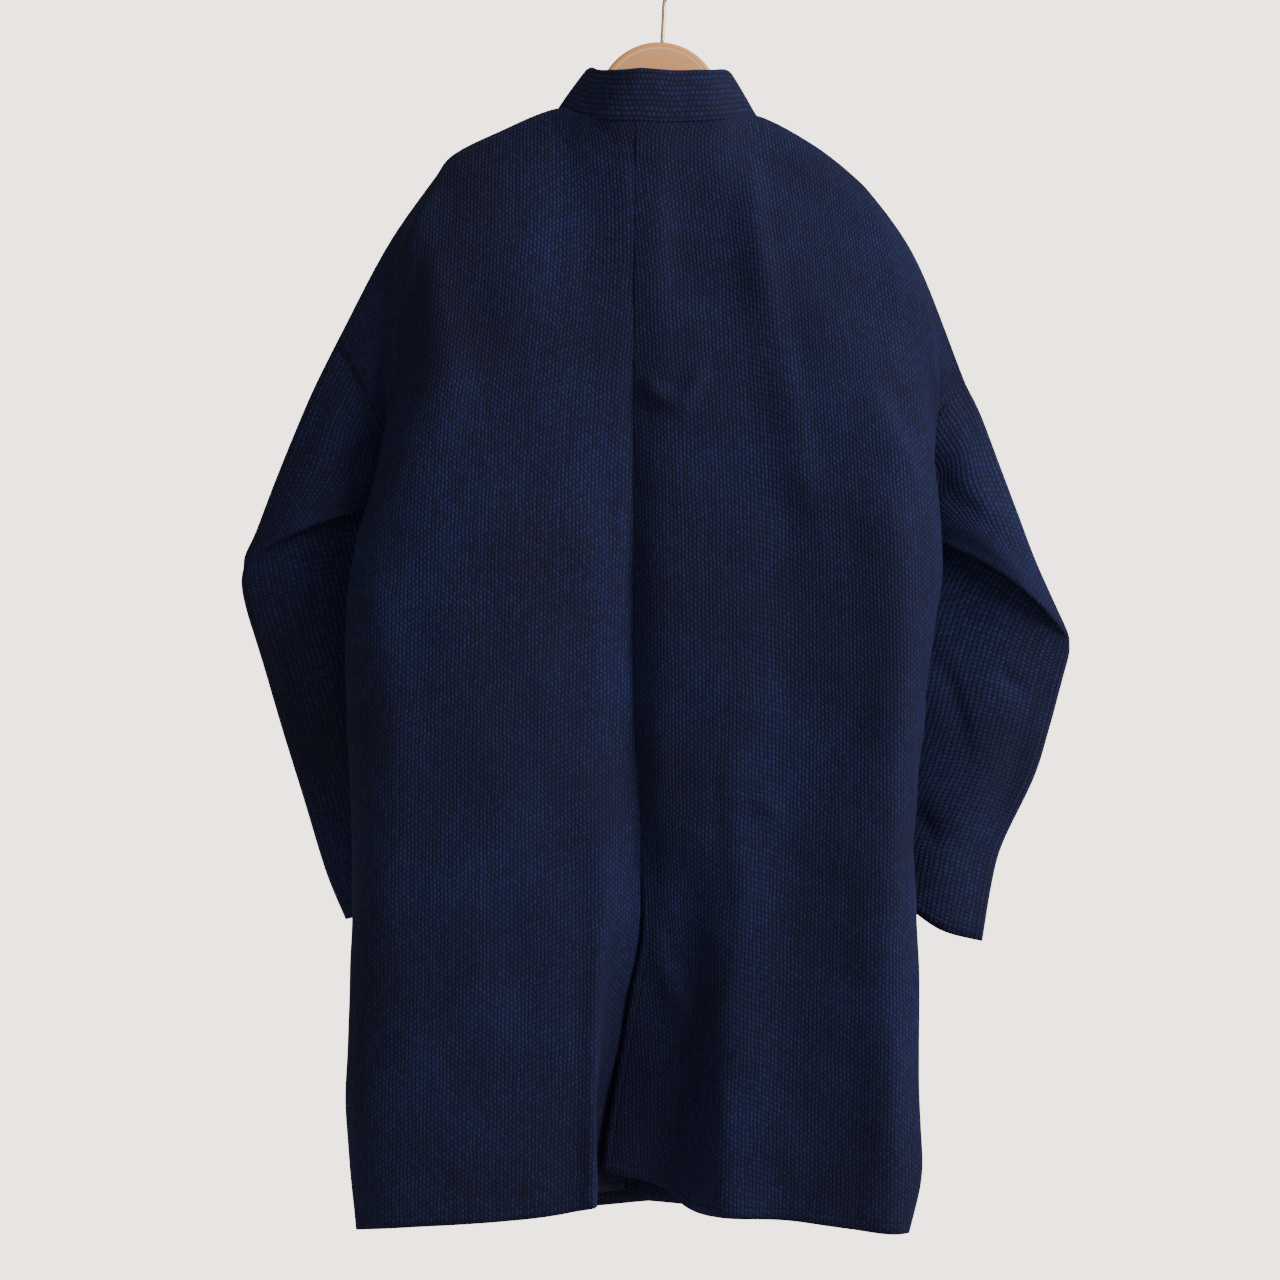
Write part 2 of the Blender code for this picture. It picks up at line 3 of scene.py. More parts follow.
import bmesh
import bpy
import numpy as np
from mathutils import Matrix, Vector


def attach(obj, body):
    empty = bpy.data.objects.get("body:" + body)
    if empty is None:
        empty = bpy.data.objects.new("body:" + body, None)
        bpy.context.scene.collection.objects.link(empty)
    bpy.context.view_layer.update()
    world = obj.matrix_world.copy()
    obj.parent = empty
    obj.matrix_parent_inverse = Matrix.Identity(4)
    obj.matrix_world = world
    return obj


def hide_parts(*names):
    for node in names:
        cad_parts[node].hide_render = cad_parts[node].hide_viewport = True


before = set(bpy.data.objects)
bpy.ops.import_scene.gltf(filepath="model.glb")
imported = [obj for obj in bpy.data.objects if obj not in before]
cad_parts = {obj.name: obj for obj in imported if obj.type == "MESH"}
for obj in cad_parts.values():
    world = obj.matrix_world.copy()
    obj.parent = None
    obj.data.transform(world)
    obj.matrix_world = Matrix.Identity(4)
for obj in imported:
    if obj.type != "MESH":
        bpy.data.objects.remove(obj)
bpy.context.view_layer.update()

mm = 0.001
headDrop = 95.0   # the tables' zero under the inside of the hook, where the origin is


# smooth curves and points, all in mm; z is counted down from just under the top of the wooden head

def smoothAt(keys, values, at):
    # a smooth curve through values, one for each key
    keys, values = np.asarray(keys, float), np.asarray(values, float)
    at = np.clip(np.asarray(at, float), keys[0], keys[-1])
    steps = np.diff(keys)
    rises = np.diff(values, axis=0) / steps[:, None]
    slopes = np.empty_like(values)
    slopes[0], slopes[-1] = rises[0], rises[-1]
    weights = (steps[:-1] / (steps[:-1] + steps[1:]))[:, None]
    slopes[1:-1] = rises[:-1] * (1 - weights) + rises[1:] * weights
    i = np.clip(np.searchsorted(keys, at, side="right") - 1, 0, len(steps) - 1)
    h = steps[i][:, None]
    t = ((at - keys[i]) / steps[i])[:, None]
    return ((2 * t**3 - 3 * t**2 + 1) * values[i] + (t**3 - 2 * t**2 + t) * h * slopes[i]
            + (3 * t**2 - 2 * t**3) * values[i + 1] + (t**3 - t**2) * h * slopes[i + 1])


def sharesAlong(points):
    along = np.concatenate([[0.0], np.cumsum(np.linalg.norm(np.diff(points, axis=0), axis=1))])
    return along / along[-1]


def evenly(points, count, *others):
    # the same line, and what goes with its points, at count even places
    at, shares = np.linspace(0, 1, count), sharesAlong(points)
    made = [np.column_stack([np.interp(at, shares, line[:, k]) for k in range(line.shape[1])])
            for line in (points,) + others]
    return made if others else made[0]


def alongRows(grid, axis):
    # running length through a grid of points, down its rows (axis 0) or across (axis 1)
    steps = np.linalg.norm(np.diff(grid, axis=axis), axis=2)
    start = np.zeros_like(steps[:1] if axis == 0 else steps[:, :1])
    return np.concatenate([start, np.cumsum(steps, axis=axis)], axis=axis)


def normalsOf(grid):
    across = np.gradient(grid, axis=1)
    down = np.gradient(grid, axis=0)
    way = np.cross(across, down)
    size = np.linalg.norm(way, axis=2, keepdims=True)
    return way / np.maximum(size, 1e-9)


def waves(p, seed, lengths, height):
    # slow unevenness of hung cloth: a few crossed sine waves with seeded places
    rng = np.random.default_rng(seed)
    total = np.zeros(p.shape[:-1])
    for length in lengths:
        for _ in range(4):
            turn, phase = rng.uniform(0, math.pi), rng.uniform(0, 2 * math.pi)
            run = p[..., 0] * math.cos(turn) + p[..., 2] * math.sin(turn)
            total += np.sin(run * 2 * math.pi / length + phase)
    return total * height / (4 * len(lengths))


def besideLine(p, route):
    # distance from points to a line of (x, z) corners, and how far along it the nearest place is
    q = np.stack([p[..., 0], p[..., 2]], axis=-1)
    route = np.array(route, float)
    best = np.full(q.shape[:-1], 1e9)
    side, share = np.zeros_like(best), np.zeros_like(best)
    lengths = np.linalg.norm(np.diff(route, axis=0), axis=1)
    starts = np.concatenate([[0], np.cumsum(lengths)])
    for a, b, size, start in zip(route[:-1], route[1:], lengths, starts):
        t = np.clip(((q - a) @ (b - a)) / size**2, 0, 1)
        off = q - (a + t[..., None] * (b - a))
        far = np.linalg.norm(off, axis=-1)
        near = far < best
        best = np.where(near, far, best)
        across = ((b - a)[0] * off[..., 1] - (b - a)[1] * off[..., 0]) / size
        side = np.where(near, np.sign(across), side)
        share = np.where(near, (start + t * size) / starts[-1], share)
    return best, side, share


def creased(grid, folds, outward):
    # soft troughs (negative depth) and ridges laid along given lines of (x, z)
    total = np.zeros(grid.shape[:2])
    for route, depth, width, otherWidth in folds:
        far, side, share = besideLine(grid, smoothAt(np.arange(len(route)), route,
                                                     np.linspace(0, len(route) - 1, 4 * len(route))))
        wide = np.where(side > 0, width, otherWidth)
        ends = np.sin(math.pi * np.clip(share, 0.0, 1.0)) ** 0.7
        total += depth * np.exp(-(far / wide) ** 2) * ends
    return grid + normalsOf(grid) * (total * outward)[..., None]


# the jacket's form: guides as (z, x, y), as the cut panels hang

bodyValues = {
    "cloth": 1.8, "centreHalfGap": 0.25, "seamHalfGap": 0.25, "shoulderRound": 34.0, "armpitLevel": 0.24,
    "ventTop": -716, "sideVentTop": -838.0, "sideVentSpread": 0.08, "area": 0.46,
    "rowsPerLevel": 7, "frontRowsPerLevel": 11, "columnsPerSpan": 5, "lap": [(7.0, 2.6), (1.2, 1.9)],
    # slow unevenness: height, wave lengths, and how far in from the seam, the side and the top it fades in
    "unevenness": 2.2, "backWaves": (58, 95, 160), "frontWaves": (62, 105, 170), "fades": (14, 20, 30),
    "hemWaves": (24, 41), "hemPull": 1.1, "hemReach": 14, "hemSeeds": (21, 22),
    "sewn": {"hem": [8.5], "opening": [7.0], "armhole": [4.0, 11.0]},   # mm from each edge, the sewn rows
    "left": {
        "cut": (0.31, 1.86), "seeds": (3, 5), "spans": (2, 2, 2, 2, 3, 2, 3, 3, 2),
        "back": {
            "seam": (-38, [
                (-60, -26, -38), (-262, -27, -40), (-350, -27, -34), (-446, -27, -28), (-526, -27, -26),
                (-590, -23, -24), (-654, -21, -22), (-716, -21, -18), (-779, -25, 1), (-855, -35, 13),
                (-930, -42, 20)]),
            "wall": (-37, [
                (-60, -34, -37), (-262, -36, -42), (-446, -35, -34), (-590, -34, -31), (-662, -38, -34),
                (-714, -42, -36), (-774, -50, -26), (-848, -59, -8), (-930, -63, 3)]),
            "fold": (-34, [
                (-59, -46, -34), (-262, -47, -43), (-446, -46, -39), (-590, -46, -38), (-662, -50, -44),
                (-714, -52, -47), (-774, -56, -50), (-846, -58, -52), (-930, -58, -51)]),
            "nape": (-19, [
                (-54, -68, -28), (-262, -68, -45), (-446, -66, -46), (-590, -66, -46), (-714, -69, -49),
                (-846, -71, -52), (-933, -72, -50)]),
            "neck": (0, [
                (-45, -87, -16), (-166, -87, -42), (-286, -98, -48), (-446, -102, -52), (-590, -104, -53),
                (-714, -104, -54), (-846, -105, -55), (-938, -106, -53)]),
            "blade": (0, [
                (-64, -136, -14), (-166, -138, -40), (-286, -144, -49), (-446, -152, -54), (-606, -155, -56),
                (-766, -156, -57), (-942, -157, -55)]),
            "flank": (0, [
                (-85, -176, -13), (-166, -183, -33), (-246, -190, -41), (-326, -204, -45), (-398, -226, -43),
                (-462, -236, -41), (-542, -236, -41), (-646, -233, -43), (-766, -233, -44),
                (-870, -236, -45), (-948, -231, -44)]),
            "ridge": (0, [
                (-100, -187, -12), (-134, -198, -22), (-206, -203, -26), (-260, -208, -27),
                (-319, -223, -26), (-401, -250, -22), (-461, -258, -19), (-526, -259, -17),
                (-583, -255, -17), (-702, -254, -18), (-785, -256, -19), (-841, -258, -20),
                (-919, -254, -24), (-952, -249, -28)]),
            "turn": (0, [
                (-154, -225, -8), (-219, -226, -14), (-262, -224, -18), (-300, -226, -16), (-345, -234, -11),
                (-400, -244, -8), (-461, -250, -5), (-526, -248, -4), (-583, -244, -4), (-704, -244, -5),
                (-786, -247, -7), (-843, -249, -9), (-922, -248, -14), (-953, -244, -19)]),
            "edge": (0, [
                (-237, -269, -1), (-265, -252, -7), (-290, -238, -8), (-315, -227, -3), (-348, -214, 0),
                (-385, -205, 4), (-409, -201, 8), (-426, -203, 8), (-478, -211, 8), (-543, -221, 7),
                (-649, -227, 5), (-771, -232, 2), (-844, -235, -2), (-923, -236, -8), (-954, -235, -13)])},
        "front": {
            "edge": [
                (-265, -252, 8), (-290, -238, 13), (-315, -227, 16), (-348, -214, 17), (-385, -205, 13)],
            "turn": [
                (-219, -224, 12), (-324, -203, 19), (-420, -186, 13), (-543, -205, 12), (-700, -212, 11),
                (-844, -218, 6), (-954, -218, 3)],
            "ridge": [
                (-166, -187, 16), (-286, -184, 21), (-420, -170, 20), (-620, -182, 19), (-844, -190, 14),
                (-954, -192, 11)],
            "flank": [(-166, -168, 18), (-420, -140, 28), (-720, -150, 28), (-952, -155, 24)],
            "blade": [(-166, -128, 22), (-420, -100, 38), (-720, -100, 38), (-950, -104, 35)],
            "neck": [
                (-95, -72, 18), (-185, -46, 36), (-305, -12, 44), (-425, 16, 46), (-560, 28, 46),
                (-940, 30, 45)]}},
    "right": {
        "cut": (0.31, 1.86), "seeds": (8, 13), "spans": (2, 3, 3, 2, 3, 2, 3, 3, 2),
        "back": {
            "seam": (-38, [
                (-60, -26, -38), (-262, -27, -40), (-350, -27, -34), (-446, -27, -28), (-526, -27, -26),
                (-590, -23, -24), (-654, -21, -22), (-716, -20, -21), (-757, -28, -15), (-823, -40, -2),
                (-887, -51, 1), (-911, -54, 1)]),
            "dip": (-38, [
                (-61, -8, -38), (-262, -8, -44), (-334, -10, -42), (-446, -10, -39), (-558, -9, -37),
                (-638, -3, -32), (-716, 3, -26), (-780, 3, -14), (-852, 1, -5), (-923, -6, 3)]),
            "trough": (-36, [
                (-61, 10, -36), (-166, 10, -39), (-262, 9, -45), (-316, 8, -45), (-406, 8, -44),
                (-546, 11, -42), (-610, 15, -39), (-672, 21, -35), (-737, 22, -26), (-819, 20, -13),
                (-940, 18, -5)]),
            "crest": (-30, [
                (-58, 42, -30), (-166, 50, -39), (-262, 54, -44), (-350, 56, -44), (-446, 57, -45),
                (-526, 57, -46), (-598, 54, -46), (-670, 50, -45), (-735, 47, -42), (-816, 46, -39),
                (-941, 45, -36)]),
            "neck": (0, [
                (-51, 73, -15), (-166, 86, -39), (-286, 94, -43), (-446, 98, -43), (-590, 98, -43),
                (-715, 96, -41), (-847, 94, -37), (-943, 92, -35)]),
            "blade": (0, [
                (-76, 121, -14), (-206, 130, -40), (-326, 138, -48), (-486, 146, -50), (-646, 142, -49),
                (-806, 142, -46), (-948, 145, -44)]),
            "flank": (0, [
                (-104, 156, -13), (-204, 165, -33), (-285, 175, -42), (-349, 184, -49), (-413, 190, -54),
                (-485, 190, -55), (-574, 184, -55), (-646, 180, -54), (-766, 178, -53), (-870, 182, -53),
                (-951, 179, -52)]),
            "ridge": (0, [
                (-116, 167, -12), (-154, 177, -19), (-181, 184, -24), (-220, 192, -27), (-268, 201, -29),
                (-317, 209, -30), (-356, 216, -30), (-395, 220, -30), (-433, 219, -30), (-482, 212, -30),
                (-539, 206, -30), (-607, 200, -30), (-664, 198, -30), (-704, 200, -31), (-768, 202, -32),
                (-833, 201, -34), (-869, 203, -35), (-921, 202, -37), (-952, 193, -39)]),
            "turn": (0, [
                (-163, 200, -8), (-227, 218, -13), (-270, 220, -17), (-300, 218, -15), (-340, 216, -10),
                (-385, 215, -7), (-429, 213, -5), (-486, 205, -4), (-575, 195, -4), (-665, 190, -4),
                (-770, 193, -6), (-835, 194, -9), (-871, 196, -12), (-922, 194, -16), (-954, 186, -20)]),
            "edge": (0, [
                (-269, 243, -1), (-282, 230, -7), (-300, 216, -8), (-325, 202, -4), (-360, 190, 1),
                (-400, 182, 5), (-434, 179, 8), (-452, 181, 8), (-486, 186, 8), (-576, 179, 7),
                (-665, 174, 5), (-771, 177, 2), (-839, 180, -2), (-891, 183, -9), (-955, 181, -15)])},
        "front": {
            "edge": [(-282, 230, 8), (-300, 215, 13), (-325, 202, 16), (-360, 190, 17), (-400, 182, 13)],
            "turn": [
                (-227, 217, 9), (-324, 192, 17), (-424, 166, 13), (-576, 164, 12), (-771, 164, 10),
                (-955, 174, 8)],
            "ridge": [(-166, 172, 15), (-286, 168, 21), (-424, 150, 20), (-700, 148, 19), (-955, 158, 14)],
            "flank": [(-166, 156, 17), (-420, 122, 25), (-700, 118, 26), (-952, 126, 23)],
            "blade": [(-166, 112, 20), (-420, 86, 29), (-700, 84, 31), (-950, 88, 30)],
            "neck": [
                (-95, 58, 16), (-185, 34, 26), (-305, 2, 31), (-425, -20, 32), (-560, -26, 32),
                (-940, -28, 32)]}},
}
levels = {
    "back": (0, 0.002, 0.007, 0.016, 0.03, 0.055, 0.09, 0.12, 0.16, 0.20, 0.24, 0.28, 0.32, 0.36, 0.40, 0.45,
             0.50, 0.55, 0.60, 0.65, 0.70, 0.75, 0.80, 0.85, 0.90, 0.95, 1),
    "front": (0, 0.002, 0.007, 0.016, 0.035, 0.07, 0.12, 0.18, 0.24, 0.31, 0.38, 0.46, 0.55, 0.65, 0.76,
              0.88, 1),
}
neckGuide = 4

# main creases as (line of (x, z), depth, width on one side, width on the other), all in mm
foldValues = {
    "leftBack": [
        ([(-84, -86), (-86, -160), (-85, -232)], 2.4, 9, 14),
        ([(-66, -230), (-55, -214)], 0.5, 3, 4),
        ([(-60, -420), (-78, -560), (-82, -700)], 2.0, 16, 24),
        ([(-200, -150), (-176, -260), (-190, -380)], -3.4, 15, 26),
        ([(-150, -300), (-170, -480), (-176, -640)], -1.6, 22, 34),
        ([(-232, -420), (-214, -560), (-226, -720)], -2.2, 12, 20),
        ([(-128, -640), (-120, -760), (-132, -880)], 1.6, 20, 32),
        ([(-214, -860), (-180, -884), (-150, -880), (-118, -896)], -1.5, 12, 18),
        ([(-206, -900), (-160, -918), (-110, -914)], 1.1, 9, 12),
        ([(-236, -760), (-206, -800), (-190, -850)], -1.3, 14, 20)],
    "rightBack": [
        ([(-24, -268), (-5, -281), (8, -288), (19, -293)], -4.6, 5, 8),
        ([(33, -260), (22, -276), (12, -293)], -4.0, 5, 8),
        ([(68, -86), (71, -146), (82, -206)], -3.6, 9, 16),
        ([(65, -124), (85, -226), (99, -292), (117, -378), (127, -422)], -4.2, 12, 20),
        ([(158, -268), (190, -330), (205, -362)], -4.2, 9, 14),
        ([(70, -600), (82, -612), (93, -618)], -3.6, 5, 7),
        ([(58, -672), (68, -680)], -1.6, 6, 8),
        ([(-10, -704), (4, -753), (33, -802)], -3.2, 6, 11),
        ([(38, -560), (42, -640), (48, -700), (36, -790)], 1.8, 7, 14),
        ([(36, -790), (62, -860), (58, -930)], 2.0, 13, 22),
        ([(112, -470), (104, -600), (118, -760)], -1.6, 18, 30),
        ([(172, -520), (150, -640), (160, -780)], -2.0, 14, 26),
        ([(190, -800), (176, -860), (184, -920)], -1.8, 10, 16),
        ([(88, -840), (100, -890), (96, -935)], -1.4, 10, 16)],
    "leftFront": [
        ([(-66, -130), (-90, -240), (-84, -360)], -2.4, 14, 22),
        ([(-150, -180), (-120, -330), (-136, -470)], -2.2, 14, 24),
        ([(-180, -400), (-130, -440), (-70, -520)], -2.6, 12, 20),
        ([(-100, -560), (-84, -700), (-96, -880)], -2.0, 16, 28),
        ([(-20, -500), (-32, -660), (-24, -860)], 1.8, 14, 22),
        ([(-170, -620), (-160, -760), (-172, -900)], -1.8, 14, 22),
        ([(-176, -880), (-120, -896), (-60, -886)], -1.2, 10, 16)],
    "rightFront": [
        ([(52, -130), (78, -250), (70, -380)], -2.4, 14, 22),
        ([(140, -190), (112, -330), (124, -460)], -2.2, 14, 24),
        ([(158, -420), (120, -460), (60, -540)], -2.6, 12, 20),
        ([(86, -600), (70, -740), (84, -890)], -2.0, 16, 28),
        ([(136, -640), (128, -780), (140, -900)], -1.8, 14, 22),
        ([(10, -520), (24, -700), (14, -860)], 1.6, 14, 22)],
}


def guideAt(rows, shares):
    heights = np.array([row[0] for row in rows], float)
    z = heights[0] + (heights[-1] - heights[0]) * np.asarray(shares, float)
    return np.column_stack([smoothAt(-heights, [row[1:] for row in rows], -z), z])


def overShoulder(points, topDepth):
    # bends a guide's top over the fold that it hangs from
    drop = np.clip((points[0, 2] - points[:, 2]) / bodyValues["shoulderRound"], 0, 1)
    bent = points.copy()
    bent[:, 1] = topDepth + (points[:, 1] - topDepth) * np.sqrt(drop * (2 - drop))
    return bent


def acrossGuides(places, spans, trimStart, trimEnd):
    fine = bodyValues["columnsPerSpan"]
    chords = np.linalg.norm(np.diff(places, axis=0), axis=1)
    keys = np.concatenate([[0.0], np.cumsum(np.sqrt(np.maximum(chords, 0.5)))])
    at = [keys[0]]
    for number, count in enumerate(spans):
        steps = np.arange(1, count * fine + 1) / (count * fine)
        at += list(keys[number] + (keys[number + 1] - keys[number]) * steps)
    at[0] += trimStart / chords[0] * (keys[1] - keys[0])
    at[-1] -= trimEnd / chords[-1] * (keys[-1] - keys[-2])
    return smoothAt(keys, places, at)


def fineLevels(side):
    coarse, per = levels[side], bodyValues["rowsPerLevel" if side == "back" else "frontRowsPerLevel"]
    return np.interp(np.arange((len(coarse) - 1) * per + 1) / per, np.arange(len(coarse)), coarse)


def backGrid(guides, spans):
    lines = [overShoulder(guideAt(rows, fineLevels("back")), depth) for depth, rows in guides.values()]
    trims = bodyValues["centreHalfGap"], bodyValues["seamHalfGap"]
    return np.array([acrossGuides(np.array(row), spans, *trims) for row in zip(*lines)])


def frontGrid(guides, backGuides, spans):
    lines = []
    for name, rows in guides.items():
        top = backGuides[name][1][0]
        if name == "edge":   # below the armpit the side seam is the back's own edge
            rows = rows + [(z, x, y + max(0, bodyValues["sideVentTop"] - z) * bodyValues["sideVentSpread"])
                           for z, x, y in backGuides[name][1] if z < rows[-1][0]]
        lines.append(overShoulder(guideAt([(top[0], top[1], rows[0][2])] + rows, fineLevels("front")), 0))
    gap = bodyValues["seamHalfGap"]
    return np.array([acrossGuides(np.array(row), spans, gap, gap) for row in zip(*lines)])


def inMetres(points):
    moved = np.array(points, float)
    moved[..., 2] -= headDrop
    return moved * mm


def newItem(name, bm, material):
    mesh = bpy.data.meshes.new(name)
    bm.to_mesh(mesh)
    bm.free()
    mesh.shade_smooth()
    mesh.materials.append(material)
    item = bpy.data.objects.new(name, mesh)
    bpy.context.collection.objects.link(item)
    return item


def gridPiece(name, grid, maps, material, keep=None, closed=False):
    # a sheet from Blender's own grid, each corner carried to its place; maps are UV maps by name, in metres
    rows, columns = grid.shape[:2]
    bm = bmesh.new()
    bmesh.ops.create_grid(bm, x_segments=columns - 1, y_segments=rows - 1, size=1.0)
    layers = {key: bm.loops.layers.uv.new(key) for key in maps}
    place = {v: (int(round((1 - v.co.y) / 2 * (rows - 1))), int(round((v.co.x + 1) / 2 * (columns - 1))))
             for v in bm.verts}
    for face in bm.faces:
        for loop in face.loops:
            r, c = place[loop.vert]
            for key, layer in layers.items():
                loop[layer].uv = maps[key][r, c]
    points = inMetres(grid)
    for v, (r, c) in place.items():
        v.co = points[r, c]
    if keep is not None:
        bmesh.ops.delete(bm, geom=[v for v, (r, c) in place.items() if not keep[r, c]], context="VERTS")
    if closed:
        bmesh.ops.remove_doubles(bm, verts=bm.verts, dist=1e-7)
    return newItem(name, bm, material)


def facing(item, point):
    # turns the faces so that the one nearest to a point outside looks at it
    mesh = item.data
    spot = Vector(inMetres(point))
    face = min(mesh.polygons, key=lambda p: (p.center - spot).length)
    if face.normal.dot(spot - face.center) < 0:
        mesh.flip_normals()


def wall(item, thickness):
    # gives a sheet its thickness, half on each side
    made = item.modifiers.new("wall", "SOLIDIFY")
    made.thickness = thickness * mm
    made.offset = 0.0
    made.use_quality_normals = True


# materials

def toLinear(hexColour):
    parts = [int(hexColour[i:i + 2], 16) / 255 for i in (1, 3, 5)]
    return tuple(c / 12.92 if c <= 0.04045 else ((c + 0.055) / 1.055) ** 2.4 for c in parts) + (1.0,)


def addNode(tree, kind, settings=None, links=None, out=0):
    # one node with its settings and its inputs by name or number, each a value or another node's output;
    # gives back the output asked for
    node = tree.nodes.new("ShaderNode" + kind)
    for key, value in (settings or {}).items():
        setattr(node, key, value)
    for key, value in (links or {}).items():
        if isinstance(value, bpy.types.NodeSocket):
            tree.links.new(value, node.inputs[key])
        else:
            node.inputs[key].default_value = value
    return node.outputs[out]


def newMaterial(name, roughness, metallic=0.0):
    material = bpy.data.materials.new(name)
    material.use_nodes = True
    shader = material.node_tree.nodes["Principled BSDF"]
    shader.inputs["Roughness"].default_value = roughness
    shader.inputs["Metallic"].default_value = metallic
    shader.inputs["IOR"].default_value = 1.5
    return material, material.node_tree, shader


clothLook = {
    "grainAcross": 3.1, "grainAlong": 4.3,   # mm between the raised grains of the sashiko weave
    "collarGrain": 3.6,                      # mm between the grains along the collar band
    # hollow is the painted shade colour that darkens the hollows between grains and the stitch grooves
    "grain": "#161c40", "worn": "#1c2856", "hollowShade": "#080a18", "violet": "#191835", "thread": "#20294f",
    "relief": 0.52, "roughness": 0.86, "specular": 0.25,
    "sheen": 0.10, "sheenRoughness": 0.45, "sheenTint": "#5a70b8",
    "wander": 2.2, "wanderOver": 22.0,       # mm that the columns of grains wander, and over how long a way
    "wideFlank": 2.2, "longFlank": 2.6, "crown": 0.7,   # how square a grain is each way, and how full
    "brick": 0.5, "longReach": 0.96,         # how much lower each second column is; a grain's half length
    "uneven": 0.35, "even": 0.75,            # share of a grain's height that differs, and that all have
    "plies": 3.4, "plyHeight": 0.10,         # mm, scale of the twisted thread's lines, and their height
    "fuzz": 1.1, "fuzzHeight": 0.12,         # mm, scale of the loose fibres, and their height
    "patches": 7.0, "blotches": 3.1,         # a metre, how many worn patches and violet blotches
    "streaks": (160.0, 9.0, 1.0),            # a metre, streaks across and along the weave
    # how much of the pattern comes from streaks and from each grain's number, and between which sums it grows
    "wornBy": (0.25, 0.30), "wornSums": (0.62, 1.05), "dyedBy": 0.22, "dyedSums": (0.50, 0.74),
    "paler": 0.95, "palest": 0.04,           # painted shade over height, from the hollows up
    "stitch": 4.2, "stitchShare": 0.66,      # mm from one stitch to the next, and how much of it is thread
    "threadHalf": 0.42, "grooveHalf": 1.5,   # mm, half the thread's width and how far the groove reaches
    # the stitch grooves are darkened with painted shade; the thread shows its own colour
    "grooveDeep": 0.95, "threadHigh": 0.35, "hemHigh": 0.35, "grooveShade": 0.45, "threadShows": 0.55,
}


